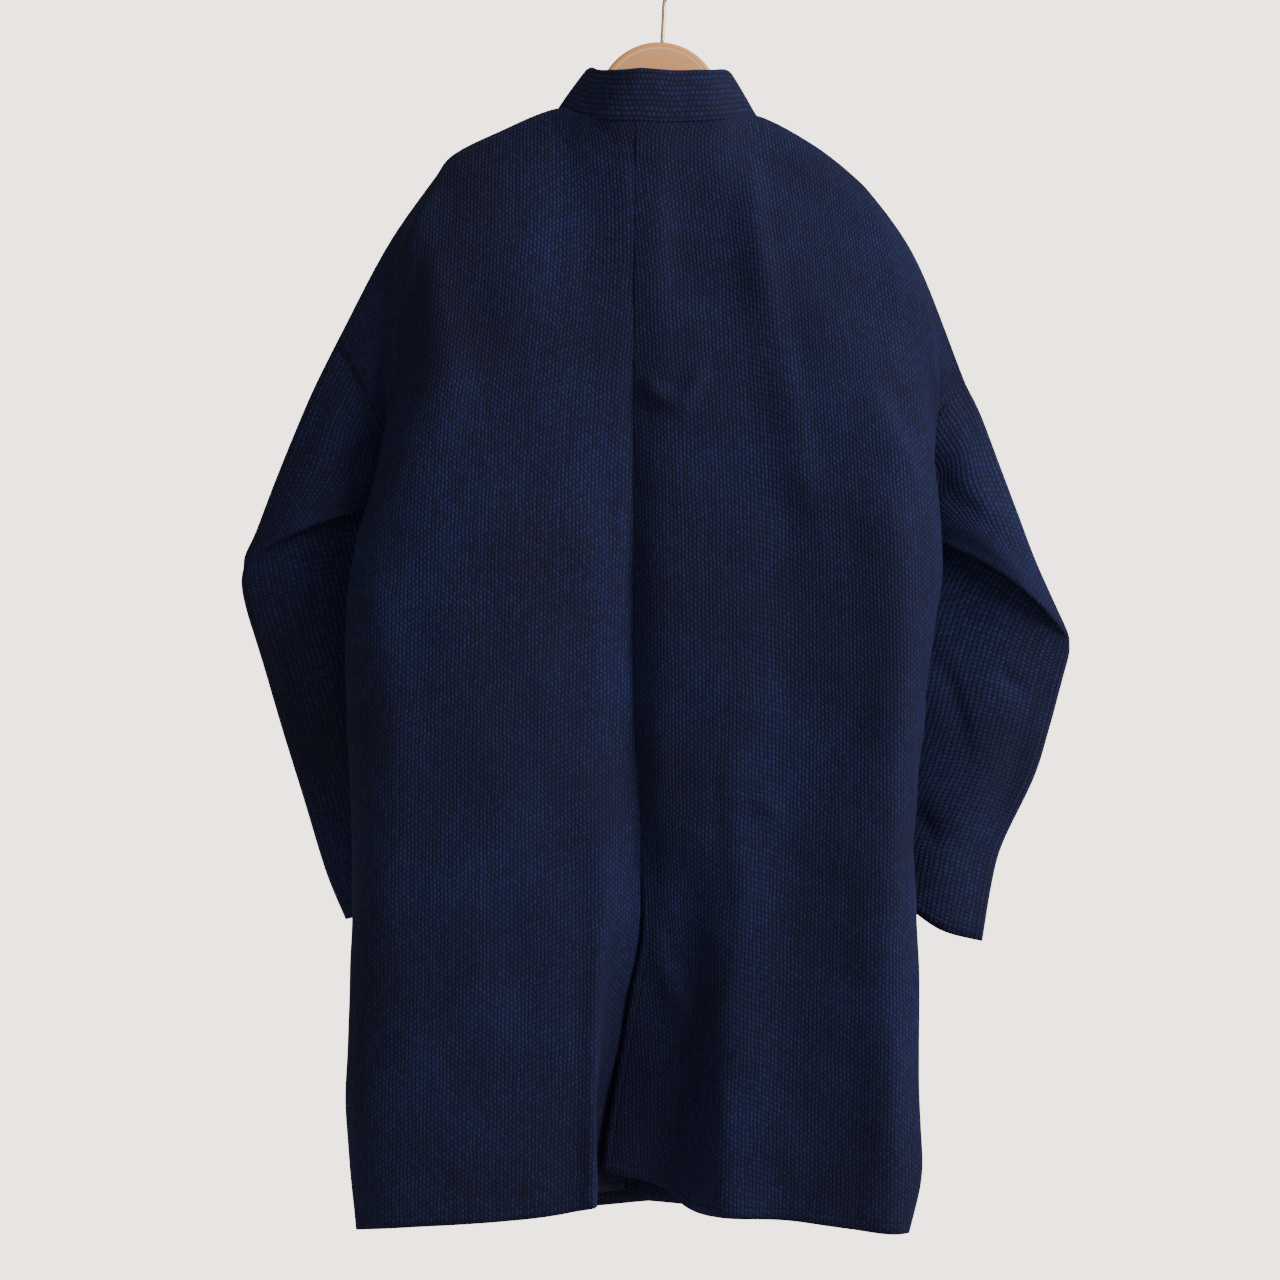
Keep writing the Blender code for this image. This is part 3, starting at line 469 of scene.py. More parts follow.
def sashiko(name, across, along, rows):
    # rice-grain cotton dyed in indigo and woven with a raised weft: matt, with small raised grains set like
    # bricks; their tops are worn a little paler, and painted shade darkens the hollows between them nearly to
    # black
    look = clothLook
    material, tree, shader = newMaterial(name, look["roughness"])
    weave = addNode(tree, "UVMap", {"uv_map": "weave"})
    place = addNode(tree, "TexCoord", out="Object")
    slip = addNode(tree, "TexNoise", {"noise_dimensions": "2D"},
                   {"Vector": weave, "Scale": 1 / (look["wanderOver"] * mm), "Detail": 1.0}, "Color")
    slip = addNode(tree, "VectorMath", {"operation": "SUBTRACT"}, {0: slip, 1: (0.5, 0.5, 0.5)})
    slip = addNode(tree, "VectorMath", {"operation": "SCALE"}, {0: slip, "Scale": look["wander"] * mm})
    moved = addNode(tree, "VectorMath", {"operation": "ADD"}, {0: weave, 1: slip})
    parts = addNode(tree, "SeparateXYZ", {}, {0: moved}).node.outputs
    u = addNode(tree, "Math", {"operation": "DIVIDE"}, {0: parts[0], 1: across * mm})
    v = addNode(tree, "Math", {"operation": "DIVIDE"}, {0: parts[1], 1: along * mm})
    # grains stand like bricks: each second column is half a grain lower
    column = addNode(tree, "Math", {"operation": "FLOOR"}, {0: u})
    half = addNode(tree, "Math", {"operation": "PINGPONG"}, {0: column, 1: 1.0})
    v = addNode(tree, "Math", {"operation": "MULTIPLY_ADD"}, {0: half, 1: look["brick"], 2: v})
    level = addNode(tree, "Math", {"operation": "FLOOR"}, {0: v})
    cell = addNode(tree, "CombineXYZ", {}, {0: column, 1: level})
    # a number of its own for each grain
    own = addNode(tree, "TexWhiteNoise", {"noise_dimensions": "2D"}, {"Vector": cell}, "Value")
    # a grain is highest in the middle of its cell; off is how far across or along that a point is from it
    offs = []
    for run, reach, flank in ((u, 1.0, look["wideFlank"]), (v, look["longReach"], look["longFlank"])):
        off = addNode(tree, "Math", {"operation": "FRACT"}, {0: run})
        off = addNode(tree, "Math", {"operation": "MULTIPLY_ADD"}, {0: off, 1: 2 * reach, 2: -reach})
        off = addNode(tree, "Math", {"operation": "ABSOLUTE"}, {0: off})
        offs.append(addNode(tree, "Math", {"operation": "POWER"}, {0: off, 1: flank}))
    grain = addNode(tree, "Math", {"operation": "ADD"}, {0: offs[0], 1: offs[1]})
    grain = addNode(tree, "Math", {"operation": "SUBTRACT", "use_clamp": True}, {0: 1.0, 1: grain})
    grain = addNode(tree, "Math", {"operation": "POWER"}, {0: grain, 1: look["crown"]})
    # the thread's twisted plies and its loose fibres stand on top of the grains
    plies = addNode(tree, "TexWave", {"wave_type": "BANDS", "bands_direction": "DIAGONAL"},
                    {"Vector": moved, "Scale": 1 / (look["plies"] * mm), "Distortion": 2.5, "Detail": 2.0,
                     "Detail Scale": 2.0}, "Fac")
    fuzz = addNode(tree, "TexNoise", {"noise_dimensions": "2D"},
                   {"Vector": weave, "Scale": 1 / (look["fuzz"] * mm), "Detail": 3.0, "Roughness": 0.6},
                   "Fac")
    stands = addNode(tree, "Math", {"operation": "MULTIPLY_ADD"},
                     {0: own, 1: look["uneven"], 2: look["even"]})
    height = addNode(tree, "Math", {"operation": "MULTIPLY"}, {0: grain, 1: stands})
    for added, share in ((plies, look["plyHeight"]), (fuzz, look["fuzzHeight"])):
        height = addNode(tree, "Math", {"operation": "MULTIPLY_ADD"}, {0: added, 1: share, 2: height})

    # colour: painted shade in the hollows, fading to the grain's colour by height; grains are worn paler in
    # patches and streaks, or dyed more violet
    patches = addNode(tree, "TexNoise", {},
                      {"Vector": place, "Scale": look["patches"], "Detail": 3.0, "Roughness": 0.55}, "Fac")
    drawn = addNode(tree, "Mapping", {}, {"Vector": weave, "Scale": look["streaks"]})
    streaks = addNode(tree, "TexNoise", {"noise_dimensions": "2D"},
                      {"Vector": drawn, "Scale": 1.0, "Detail": 2.0}, "Fac")
    worn = patches
    for part, share in zip((streaks, own), look["wornBy"]):
        worn = addNode(tree, "Math", {"operation": "MULTIPLY_ADD"}, {0: part, 1: share, 2: worn})
    blotch = addNode(tree, "TexNoise", {},
                     {"Vector": place, "Scale": look["blotches"], "Detail": 1.0}, "Fac")
    blotch = addNode(tree, "Math", {"operation": "MULTIPLY_ADD"}, {0: own, 1: look["dyedBy"], 2: blotch})
    worn, blotch = [addNode(tree, "MapRange", {}, {"Value": part, "From Min": low, "From Max": high})
                    for part, (low, high) in ((worn, look["wornSums"]), (blotch, look["dyedSums"]))]
    dyed = addNode(tree, "Mix", {"data_type": "RGBA"},
                   {"Factor": blotch, 6: toLinear(look["grain"]), 7: toLinear(look["violet"])}, 2)
    top = addNode(tree, "Mix", {"data_type": "RGBA"},
                  {"Factor": worn, 6: dyed, 7: toLinear(look["worn"])}, 2)
    # painted shade: the lower a point lies, the nearer its colour comes to the dark hollow colour
    raised = addNode(tree, "Math", {"operation": "MULTIPLY_ADD", "use_clamp": True},
                     {0: height, 1: look["paler"], 2: look["palest"]})
    colour = addNode(tree, "Mix", {"data_type": "RGBA"},
                     {"Factor": raised, 6: toLinear(look["hollowShade"]), 7: top}, 2)

    # sewn rows: distances in mm from the edge of each UV map, whose x runs along its edge and y away from it
    for key, places in rows.items():
        mapped = addNode(tree, "UVMap", {"uv_map": key})
        run, far = addNode(tree, "SeparateXYZ", {}, {0: mapped}).node.outputs[:2]
        dash = addNode(tree, "Math", {"operation": "DIVIDE"}, {0: run, 1: look["stitch"] * mm})
        dash = addNode(tree, "Math", {"operation": "FRACT"}, {0: dash})
        dash = addNode(tree, "Math", {"operation": "LESS_THAN"}, {0: dash, 1: look["stitchShare"]})
        for at in places:
            off = addNode(tree, "Math", {"operation": "SUBTRACT"}, {0: far, 1: at * mm})
            off = addNode(tree, "Math", {"operation": "ABSOLUTE"}, {0: off})
            groove = addNode(tree, "Math", {"operation": "MULTIPLY_ADD", "use_clamp": True},
                             {0: off, 1: -1 / (look["grooveHalf"] * mm), 2: 1.0})
            thread = addNode(tree, "Math", {"operation": "LESS_THAN"}, {0: off, 1: look["threadHalf"] * mm})
            thread = addNode(tree, "Math", {"operation": "MULTIPLY"}, {0: thread, 1: dash})
            # each groove is darkened with painted shade, each thread laid in its own colour
            for part, rise, share, tone in ((groove, -look["grooveDeep"], look["grooveShade"], "hollowShade"),
                                            (thread, look["threadHigh"], look["threadShows"], "thread")):
                height = addNode(tree, "Math", {"operation": "MULTIPLY_ADD"}, {0: part, 1: rise, 2: height})
                covers = addNode(tree, "Math", {"operation": "MULTIPLY"}, {0: part, 1: share})
                colour = addNode(tree, "Mix", {"data_type": "RGBA"},
                                 {"Factor": covers, 6: colour, 7: toLinear(look[tone])}, 2)
        # the cloth is turned under as far as the last row
        hem = addNode(tree, "Math", {"operation": "LESS_THAN"}, {0: far, 1: max(places) * mm})
        height = addNode(tree, "Math", {"operation": "MULTIPLY_ADD"},
                         {0: hem, 1: look["hemHigh"], 2: height})
    bump = addNode(tree, "Bump", {}, {"Height": height, "Strength": 1.0, "Distance": look["relief"] * mm})
    tree.links.new(bump, shader.inputs["Normal"])
    tree.links.new(colour, shader.inputs["Base Color"])
    shader.inputs["Specular IOR Level"].default_value = look["specular"]
    shader.inputs["Sheen Weight"].default_value = look["sheen"]
    shader.inputs["Sheen Roughness"].default_value = look["sheenRoughness"]
    shader.inputs["Sheen Tint"].default_value = toLinear(look["sheenTint"])
    return material


# the body: one panel a side, in one cut over the shoulder

bodyCloth = sashiko("sashiko cotton, indigo dyed, woven", clothLook["grainAcross"], clothLook["grainAlong"],
                    bodyValues["sewn"])
noSeam = 60.0   # mm, further from an edge than any sewn row


def edgeMap(run, far):
    return np.stack([run * mm, np.clip(far, -noSeam, noSeam) * mm], axis=-1)


def bodyPanel(side):
    values = bodyValues[side]
    backGuides, spans = values["back"], values["spans"]
    back = backGrid(backGuides, spans)
    front = frontGrid(values["front"], backGuides, spans[neckGuide:][::-1])
    outside = 1 if side == "left" else -1
    neckColumn = sum(spans[:neckGuide]) * bodyValues["columnsPerSpan"]
    still = (back.copy(), front.copy(), neckColumn)   # the seams' own places, which the folds leave alone
    if side == "left":   # the centre seam is lapped: the left panel's turning runs on under the right one
        lap = bodyValues["lap"]
        under = [back[:, :1] + np.array([reach, depth, 0.0]) for reach, depth in lap]
        back = np.concatenate(under + [back], axis=1)
        neckColumn += len(lap)

    # unevenness and folds, which fade out towards the sewn edges
    fromSeam, fromSide, fromTop = bodyValues["fades"]

    def softened(grid, part, seed, turned, fromStart, fromEnd):
        runs, down = alongRows(grid, 1), alongRows(grid, 0)
        share = (np.clip(runs / fromStart, 0, 1) * np.clip((runs[:, -1:] - runs) / fromEnd, 0, 1)
                 * np.clip(down / fromTop, 0, 1))
        soft = creased(grid, foldValues[side + part], turned)
        uneven = waves(soft, seed, bodyValues[part.lower() + "Waves"], bodyValues["unevenness"])
        return grid + (soft + normalsOf(soft) * uneven[..., None] - grid) * share[..., None]

    back = softened(back, "Back", values["seeds"][0], -outside, fromSeam, fromSide)
    front = softened(front, "Front", values["seeds"][1], outside, fromSide, fromSeam)

    # the hem's edge is a little wavy and drawn in above by its stitches
    for grid, seed in zip((back, front), bodyValues["hemSeeds"]):
        lift = alongRows(grid, 0)
        fromHem = lift[-1:] - lift
        pull = waves(grid * np.array([1, 1, 0]), seed + outside, bodyValues["hemWaves"],
                     bodyValues["hemPull"])
        grid += normalsOf(grid) * (pull * np.exp(-fromHem / bodyValues["hemReach"]))[..., None]

    # weave map: straight grain down from the neck guide; the same cloth goes on over the shoulder
    def weaveOf(grid, reference, sign):
        across, down = alongRows(grid, 1), alongRows(grid, 0)
        u = (across - across[:, reference:reference + 1]) * sign
        return np.stack([u * mm, (sign * (down - grid[:1, :, 2])) * mm], axis=-1)
    backWeave = weaveOf(back, neckColumn, 1)
    frontWeave = weaveOf(front, front.shape[1] - 1, -1)

    # full cut: front hem, up over the shoulder, down to the back hem; the neck is cut out of its front part
    columns = back.shape[1]
    whole = np.zeros((len(front) - 1 + len(back), columns, 3))
    whole[len(front) - 1:] = back
    whole[:len(front) - 1, neckColumn:] = front[1:][::-1, ::-1]
    for column in range(neckColumn):   # spare cloth that the cut removes
        whole[:len(front) - 1, column] = back[0, column]
    keep = np.ones(whole.shape[:2], bool)
    keep[:len(front) - 1, :neckColumn] = False
    weave = np.zeros(whole.shape[:2] + (2,))
    weave[len(front) - 1:] = backWeave
    weave[:len(front) - 1, neckColumn:] = frontWeave[1:][::-1, ::-1]

    def joined(backPart, frontPart):
        made = np.zeros(whole.shape[:2])
        made[len(front) - 1:] = backPart
        made[:len(front) - 1, neckColumn:] = frontPart[1:][::-1, ::-1]
        return made
    backDown, frontDown = alongRows(back, 0), alongRows(front, 0)
    backAcross, frontAcross = alongRows(back, 1), alongRows(front, 1)
    hem = edgeMap(joined(backAcross, frontAcross),
                  joined(backDown[-1:] - backDown, frontDown[-1:] - frontDown))
    below = back[:, :, 2] < bodyValues["ventTop"]
    opening = edgeMap(joined(backDown, frontDown),
                      joined(np.where(below, backAcross, noSeam), np.full(frontAcross.shape, noSeam)))
    armpitBack = levels["back"].index(bodyValues["armpitLevel"]) * bodyValues["rowsPerLevel"]
    armpitFront = levels["front"].index(bodyValues["armpitLevel"]) * bodyValues["frontRowsPerLevel"]
    aboveBack = np.arange(len(back))[:, None] <= armpitBack
    aboveFront = np.arange(len(front))[:, None] <= armpitFront
    arm = edgeMap(joined(backDown, frontDown),
                  joined(np.where(aboveBack, backAcross[:, -1:] - backAcross, noSeam),
                         np.where(aboveFront, frontAcross, noSeam)))
    item = gridPiece("jacketBody" + side.title(), whole, {"weave": weave, "hem": hem, "opening": opening,
                                                         "armhole": arm}, bodyCloth, keep)
    facing(item, (back[len(back) // 2, columns // 2] + np.array([0, -200, 0])))
    wall(item, bodyValues["cloth"])
    return (item,) + still + (armpitBack, armpitFront)


panels = {side: bodyPanel(side) for side in ("left", "right")}
print("stage: body panels cut and hung")


# sleeves: tubes from the armhole to the cuff, hung over themselves at the elbow

sleeveValues = {
    "tuck": 6.0, "turnGap": 2.9, "turnOut": 1.3, "turnDeep": 6.5, "cornerReach": 16.0, "cornerUnder": 3.5,
    "cornerDeep": 1.2, "edgeRound": 2.5, "edgeRoundShare": 0.05,
    "nearColumns": 64, "farColumns": 60, "ringsPerStep": 5,
    "unevenness": 2.0, "waves": (46, 80, 130), "seed": 31, "edgeFade": 0.10, "topFade": 16,
    "ownLength": 0.35,    # share of the weave's run that follows each line, for the ring's mean run
    "rowsFrom": 0.42,     # how far down the two sewn rows start along the lower sleeve's outer edge
    "steps": {"upper": 2, "fold": 2, "under": 2, "lower": 2, "cuff": 1},
    "sewn": {"hem": [9.0], "underarm": [5.5, 10.5]}, "cut": (0.36, 0.42), "area": 0.128,
    "left": [
        ("upper", (-288, -275, 2), (-270, -300, -6), (-248, -328, -3), (-224, -354, 5), (-205, -416, 18), 22),
        ("upper", (-305, -314, 4), (-284, -329, -6), (-251, -342, -2), (-225, -358, 6), (-204, -422, 20), 26),
        ("upper", (-321, -353, 6), (-294, -357, -6), (-252, -356, -2), (-225, -362, 7), (-203, -428, 22), 29),
        ("upper", (-335, -389, 8), (-299, -377, -6), (-252, -366, -1), (-225, -366, 8), (-201, -434, 24), 31),
        ("fold", (-344, -408, 10), (-300, -389, -5), (-250, -372, 0), (-224, -370, 9), (-198, -439, 26), 33),
        ("under", (-346, -418, 14), (-300, -383, 5), (-250, -367, 8), (-222, -374, 14), (-195, -445, 28), 35),
        ("lower", (-348, -432, 17), (-300, -405, 10), (-250, -394, 12), (-215, -402, 16), (-190, -453, 31), 37),
        ("lower", (-344, -454, 19), (-298, -448, 12), (-250, -444, 15), (-209, -443, 21), (-181, -470, 34), 40),
        ("lower", (-332, -494, 22), (-288, -492, 13), (-244, -490, 16), (-201, -488, 25), (-170, -504, 38), 44),
        ("lower", (-316, -550, 25), (-273, -548, 13), (-230, -546, 17), (-188, -546, 28), (-157, -552, 41), 47),
        ("lower", (-298, -609, 27), (-256, -606, 14), (-214, -600, 19), (-174, -594, 30), (-141, -592, 44), 50),
        ("lower", (-280, -669, 29), (-240, -660, 15), (-200, -650, 20), (-161, -640, 32), (-124, -630, 47), 52),
        ("cuff", (-264, -708, 30), (-226, -697, 17), (-187, -682, 22), (-148, -668, 34), (-110, -655, 49), 54)],
    "right": [
        ("upper", (256, -295, 2), (240, -320, -6), (221, -342, -1), (202, -364, 5), (184, -441, 18), 22),
        ("upper", (271, -334, 4), (250, -348, -6), (226, -358, -1), (204, -371, 6), (183, -447, 20), 25),
        ("upper", (286, -373, 6), (262, -375, -6), (230, -372, -2), (205, -378, 7), (182, -452, 22), 28),
        ("upper", (301, -412, 8), (270, -402, -6), (233, -386, -1), (205, -384, 8), (180, -457, 24), 30),
        ("upper", (316, -445, 10), (282, -421, -5), (238, -396, 0), (205, -389, 9), (178, -461, 26), 32),
        ("fold", (328, -471, 12), (291, -437, -3), (242, -406, 1), (205, -393, 10), (176, -465, 28), 34),
        ("under", (330, -481, 15), (291, -431, 6), (242, -400, 9), (203, -399, 15), (174, -470, 30), 36),
        ("lower", (330, -490, 18), (288, -462, 11), (238, -434, 13), (197, -424, 17), (170, -477, 32), 38),
        ("lower", (325, -510, 20), (282, -497, 13), (234, -478, 16), (190, -466, 21), (162, -494, 35), 41),
        ("lower", (314, -552, 22), (272, -545, 12), (228, -534, 16), (183, -524, 24), (152, -530, 38), 44),
        ("lower", (302, -591, 24), (260, -586, 14), (216, -578, 17), (173, -568, 27), (142, -562, 40), 46),
        ("lower", (277, -644, 26), (240, -640, 13), (200, -630, 18), (159, -616, 30), (126, -606, 44), 49),
        ("lower", (268, -677, 27), (232, -672, 14), (192, -656, 18), (151, -640, 32), (116, -628, 46), 52),
        ("cuff", (260, -726, 28), (226, -716, 18), (188, -690, 20), (141, -668, 34), (102, -652, 48), 54)],
    "leftFolds": [
        ([(-262, -250), (-290, -300), (-316, -350)], -2.0, 9, 14),
        ([(-226, -300), (-262, -340), (-300, -366)], -1.6, 8, 12),
        ([(-320, -440), (-300, -500), (-268, -560)], -2.0, 10, 18),
        ([(-300, -560), (-262, -600), (-230, -640)], -1.8, 10, 16)],
    "rightFolds": [
        ([(236, -260), (262, -320), (290, -380)], -2.0, 9, 14),
        ([(215, -330), (240, -366), (286, -400)], -1.8, 8, 12),
        ([(214, -482), (236, -520), (250, -582)], -2.4, 6, 12),
        ([(268, -498), (297, -522)], -2.6, 5, 8),
        ([(203, -612), (225, -646)], -2.2, 6, 9),
        ([(300, -520), (282, -600), (256, -660)], -1.6, 10, 16)],
}


sleeveCloth = sashiko("sashiko cotton, indigo dyed, sewn sleeve", clothLook["grainAlong"],
                      clothLook["grainAcross"], sleeveValues["sewn"])


def edgeShare(shares):
    return np.sqrt(np.clip(np.minimum(shares, 1 - shares) / sleeveValues["edgeRoundShare"], 0, 1))


def ringOf(row, nearShares, farShares):
    near = np.array([[p[0], p[2], p[1]] for p in row[1:6]], float)
    outer, inner = near[0], near[-1]
    nearHalf = smoothAt(sharesAlong(near), near, nearShares)
    nearHalf[:, 1] -= sleeveValues["edgeRound"] * edgeShare(nearShares)
    farHalf = inner + (outer - inner) * farShares[:, None]
    farHalf[:, 1] += ((row[6] - farHalf[:, 1]) * np.sin(math.pi * farShares)
                      + sleeveValues["edgeRound"] * edgeShare(farShares))
    return np.vstack([nearHalf, farHalf])


def armhole(back, front, armpitBack, armpitFront):
    ways, loops = [], []
    for points, column in ((back[:armpitBack + 1, -1], back[:, -2]),
                           (front[1:armpitFront, 0][::-1], front[:, 1])):
        beside = np.column_stack([np.interp(-points[:, 2], -column[:, 2], column[:, k]) for k in range(3)])
        away = points - beside
        ways.append(away / np.maximum(np.linalg.norm(away, axis=1)[:, None], 1e-6))
        loops.append(points)
    return loops, ways


def sleeve(side):
    values, table = sleeveValues, sleeveValues[side]
    _, back, front, _, armpitBack, armpitFront = panels[side]
    (down, up), (downWays, upWays) = armhole(back, front, armpitBack, armpitFront)
    near, nearWay = evenly(down, values["nearColumns"], downWays)
    around = np.vstack([down[-1:], up, down[:1]])
    far, farWay = evenly(around, values["farColumns"] + 2, np.vstack([downWays[-1:], upWays, downWays[:1]]))
    seam, way = np.vstack([near, far[1:-1]]), np.vstack([nearWay, farWay[1:-1]])
    nearShares, farShares = sharesAlong(near), sharesAlong(far)[1:-1]
    way = way / np.linalg.norm(way, axis=1)[:, None]
    turning = np.clip(-way[:, :1] * np.sign(seam[0, 0]), 0, 1)
    # near the outer corner the seam's turning leaves along the sleeve's own edge, so the outline runs on
    first = ringOf(table[0], nearShares, farShares)
    onward = first - seam
    onward /= np.linalg.norm(onward, axis=1)[:, None]
    corner = np.exp(-(np.linalg.norm(seam - seam[0], axis=1) / values["cornerReach"])**2)[:, None]
    way = way * (1 - corner) + onward * corner
    way /= np.linalg.norm(way, axis=1)[:, None]
    turning = turning * (1 - corner)
    deep = np.array([0.0, 1.0, 0.0])
    gap = 2 * bodyValues["seamHalfGap"]
    rings = [seam + way * (gap * (1 - turning) - values["turnOut"] * turning)
             + deep * values["turnGap"] * turning,
             seam + way * (values["tuck"] * (1 - turning) - 3 * values["turnOut"] * turning)
             + deep * values["turnDeep"] * turning]
    # it starts under the body at the outer corner
    rings[0] += (deep * values["cornerDeep"] - way * values["cornerUnder"]) * corner
    rings += [ringOf(row, nearShares, farShares) for row in table]
    at = [0.0, 1.0, 2.0]
    for number, row in enumerate(table[1:]):
        count = values["steps"][row[0]]
        at += list(number + 2 + np.arange(1, count + 1) / count)
    fine = np.interp(np.arange((len(at) - 1) * values["ringsPerStep"] + 1) / values["ringsPerStep"],
                     np.arange(len(at)), at)
    grid = smoothAt(np.arange(len(rings)), np.array(rings).reshape(len(rings), -1), fine)
    grid = grid.reshape(len(fine), -1, 3)
    grid = np.concatenate([grid, grid[:, :1]], axis=1)   # the last column meets the first
    count = values["nearColumns"]

    # folds on the near side, unevenness all round; both fade out at the armhole and the folded edges
    outside = 1 if side == "left" else -1
    shares = np.concatenate([nearShares, 1 - farShares, [0.0]])
    edgeFade = np.clip(np.minimum(shares, 1 - shares) / values["edgeFade"], 0, 1)[None, :]
    topFade = np.clip(alongRows(grid, 0) / values["topFade"], 0, 1)
    nearSide = (np.arange(grid.shape[1]) < count)[None, :]
    soft = creased(grid, values[side + "Folds"], -outside)
    uneven = waves(grid, values["seed"] + outside, values["waves"], values["unevenness"])
    soft = np.where(nearSide[..., None], soft, grid) + normalsOf(grid) * uneven[..., None]
    grid = grid + (soft - grid) * (edgeFade * topFade)[..., None]
    grid[:, -1] = grid[:, 0]

    around, down = alongRows(grid, 1), alongRows(grid, 0)
    middle = down.mean(axis=1, keepdims=True) * np.ones_like(down)
    own = values["ownLength"]
    weave = np.stack([around * mm, (own * down + (1 - own) * middle) * mm], axis=-1)
    hem = edgeMap(around, down[-1:] - down)
    total = around[:, -1:]
    outerFar = np.minimum(around, total - around)
    lower = middle / middle[-1:] > values["rowsFrom"]
    under = edgeMap(down, np.where(lower, outerFar, noSeam))
    item = gridPiece("jacketSleeve" + side.title(), grid, {"weave": weave, "hem": hem, "underarm": under},
                     sleeveCloth, closed=True)
    facing(item, (grid[len(grid) // 2, count // 2] + np.array([0, -60, 0])))
    wall(item, bodyValues["cloth"])
    return item


sleeves = {side: sleeve(side) for side in ("left", "right")}
print("stage: sleeves set in")


# collar: one folded band, sewn round the neck and down both front edges

collarValues = {
    "thick": 4.6, "high": 42.0, "overSeam": -2.0, "along": 420, "face": 22, "rim": 5, "cut": (0.045, 1.93),
    "rows": 9.5,            # rows of grains across the band
    "sewn": [2.6, 39.0],    # mm from its lower edge, the rows that hold it
    "swell": 0.35, "swellFrom": 0.07, "swellOver": 0.86,    # fuller between its rows, as mm and shares
    # how the band leans away from its seam, at levels on both sides of the nape
    "bends": (3, 6, 9), "smoothing": 6,
    "lean": [(1.0, 0.03, 0.0), (1.0, 0.05, 0.02), (0.96, 0.10, 0.24), (0.86, 0.16, 0.46), (0.52, 0.20, 0.82),
             (0.06, 0.06, 1.0), (-0.42, 0.20, 0.88), (-0.84, 0.16, 0.50), (-0.96, 0.10, 0.24),
             (-1.0, 0.05, 0.02), (-1.0, 0.03, 0.0)],
    "unevenness": 0.5, "ripples": (17.0, 61.0),             # mm, the small waves and what they wander over
}
collarCloth = sashiko("sashiko cotton, indigo dyed, quilted collar band",
                      collarValues["high"] / collarValues["rows"], clothLook["collarGrain"],
                      {"band": collarValues["sewn"]})


def collar():
    values = collarValues
    backLeft, frontLeft, neckLeft = panels["left"][1:4]
    backRight, frontRight, neckRight = panels["right"][1:4]
    perRow, perColumn = bodyValues["frontRowsPerLevel"], bodyValues["columnsPerSpan"]
    parts = [frontLeft[1:, -1][::-1], backLeft[0, :neckLeft + 1][::-1], backRight[0, 1:neckRight + 1],
             frontRight[1:, -1]]
    seam = np.vstack(parts)
    coarseFront = len(levels["front"]) - 1
    coarseLeft, coarseRight = neckLeft / perColumn, neckRight / perColumn
    at = np.concatenate([np.arange(len(parts[0])) / perRow,
                         coarseFront + np.arange(len(parts[1])) / perColumn,
                         coarseFront + coarseLeft + np.arange(1, len(parts[2]) + 1) / perColumn,
                         coarseFront + coarseLeft + coarseRight + np.arange(1, len(parts[3]) + 1) / perRow])
    nape, ends = coarseFront + coarseLeft, coarseFront + coarseLeft + coarseRight
    bends = values["bends"]
    keys = [0] + [coarseFront - bend for bend in bends[::-1]] + [coarseFront, nape, ends]
    keys += [ends + bend for bend in bends] + [ends + coarseFront]
    lean = smoothAt(keys, values["lean"], at)
    seam, lean = evenly(seam, values["along"], lean)
    for _ in range(values["smoothing"]):   # the band is stiffer than the edge that it is sewn to
        lean[1:-1] = (lean[:-2] + 2 * lean[1:-1] + lean[2:]) / 4
    lean /= np.linalg.norm(lean, axis=1)[:, None]
    run = np.gradient(seam, axis=0)
    run /= np.linalg.norm(run, axis=1)[:, None]
    out = np.cross(lean, run)
    out /= np.linalg.norm(out, axis=1)[:, None]
    start, half = values["overSeam"], values["thick"] / 2
    flat = half - values["swell"]

    # its section: two faces and two rounded rims, going round from the seam over the outside
    section = []
    faces = np.linspace(0, 1, values["face"])
    turns = np.linspace(0, math.pi, values["rim"] + 2)[1:-1]
    for sign, face, rim, base in ((1, faces, 1, values["high"] - half), (-1, faces[::-1], -1, start + half)):
        for s in face:
            share = np.clip((s - values["swellFrom"]) / values["swellOver"], 0, 1)
            deep = flat + values["swell"] * np.sin(math.pi * share) ** 0.5
            section.append((start + half + (values["high"] - start - 2 * half) * s, sign * deep))
        for a in turns:
            section.append((base + rim * half * math.sin(a), sign * flat * math.cos(a)))
    section.append(section[0])
    place = np.array([p[0] for p in section])
    depth = np.array([p[1] for p in section])
    grid = (seam[:, None] + lean[:, None] * place[None, :, None] + out[:, None] * depth[None, :, None])
    middle = seam + lean * 20   # about half way up the band
    alongBand = np.concatenate([[0.0], np.cumsum(np.linalg.norm(np.diff(middle, axis=0), axis=1))])
    short, long = values["ripples"]
    ripple = np.sin(alongBand / short + 2.0 * np.sin(alongBand / long)) * values["unevenness"]
    grows = np.sin(np.clip(place / values["high"], 0, 1) * 1.4)   # from none at the seam
    grid += out[:, None] * (ripple[:, None] * grows[None, :])[..., None]
    across = np.concatenate([[0.0], np.cumsum(np.hypot(np.diff(place), np.diff(depth)))])
    weave = np.stack(np.broadcast_arrays(across[None, :] * mm, alongBand[:, None] * mm), axis=-1)
    band = edgeMap(*np.broadcast_arrays(alongBand[:, None], (place - start)[None, :]))
    item = gridPiece("jacketCollar", grid, {"weave": weave, "band": band}, collarCloth, closed=True)
    bm = bmesh.new()
    bm.from_mesh(item.data)
    bmesh.ops.holes_fill(bm, edges=[e for e in bm.edges if e.is_boundary], sides=0)
    bmesh.ops.recalc_face_normals(bm, faces=bm.faces)
    bm.to_mesh(item.data)
    bm.free()
    item.data.shade_smooth()
    return item


band = collar()
print("stage: collar sewn on")


# hanger and hook

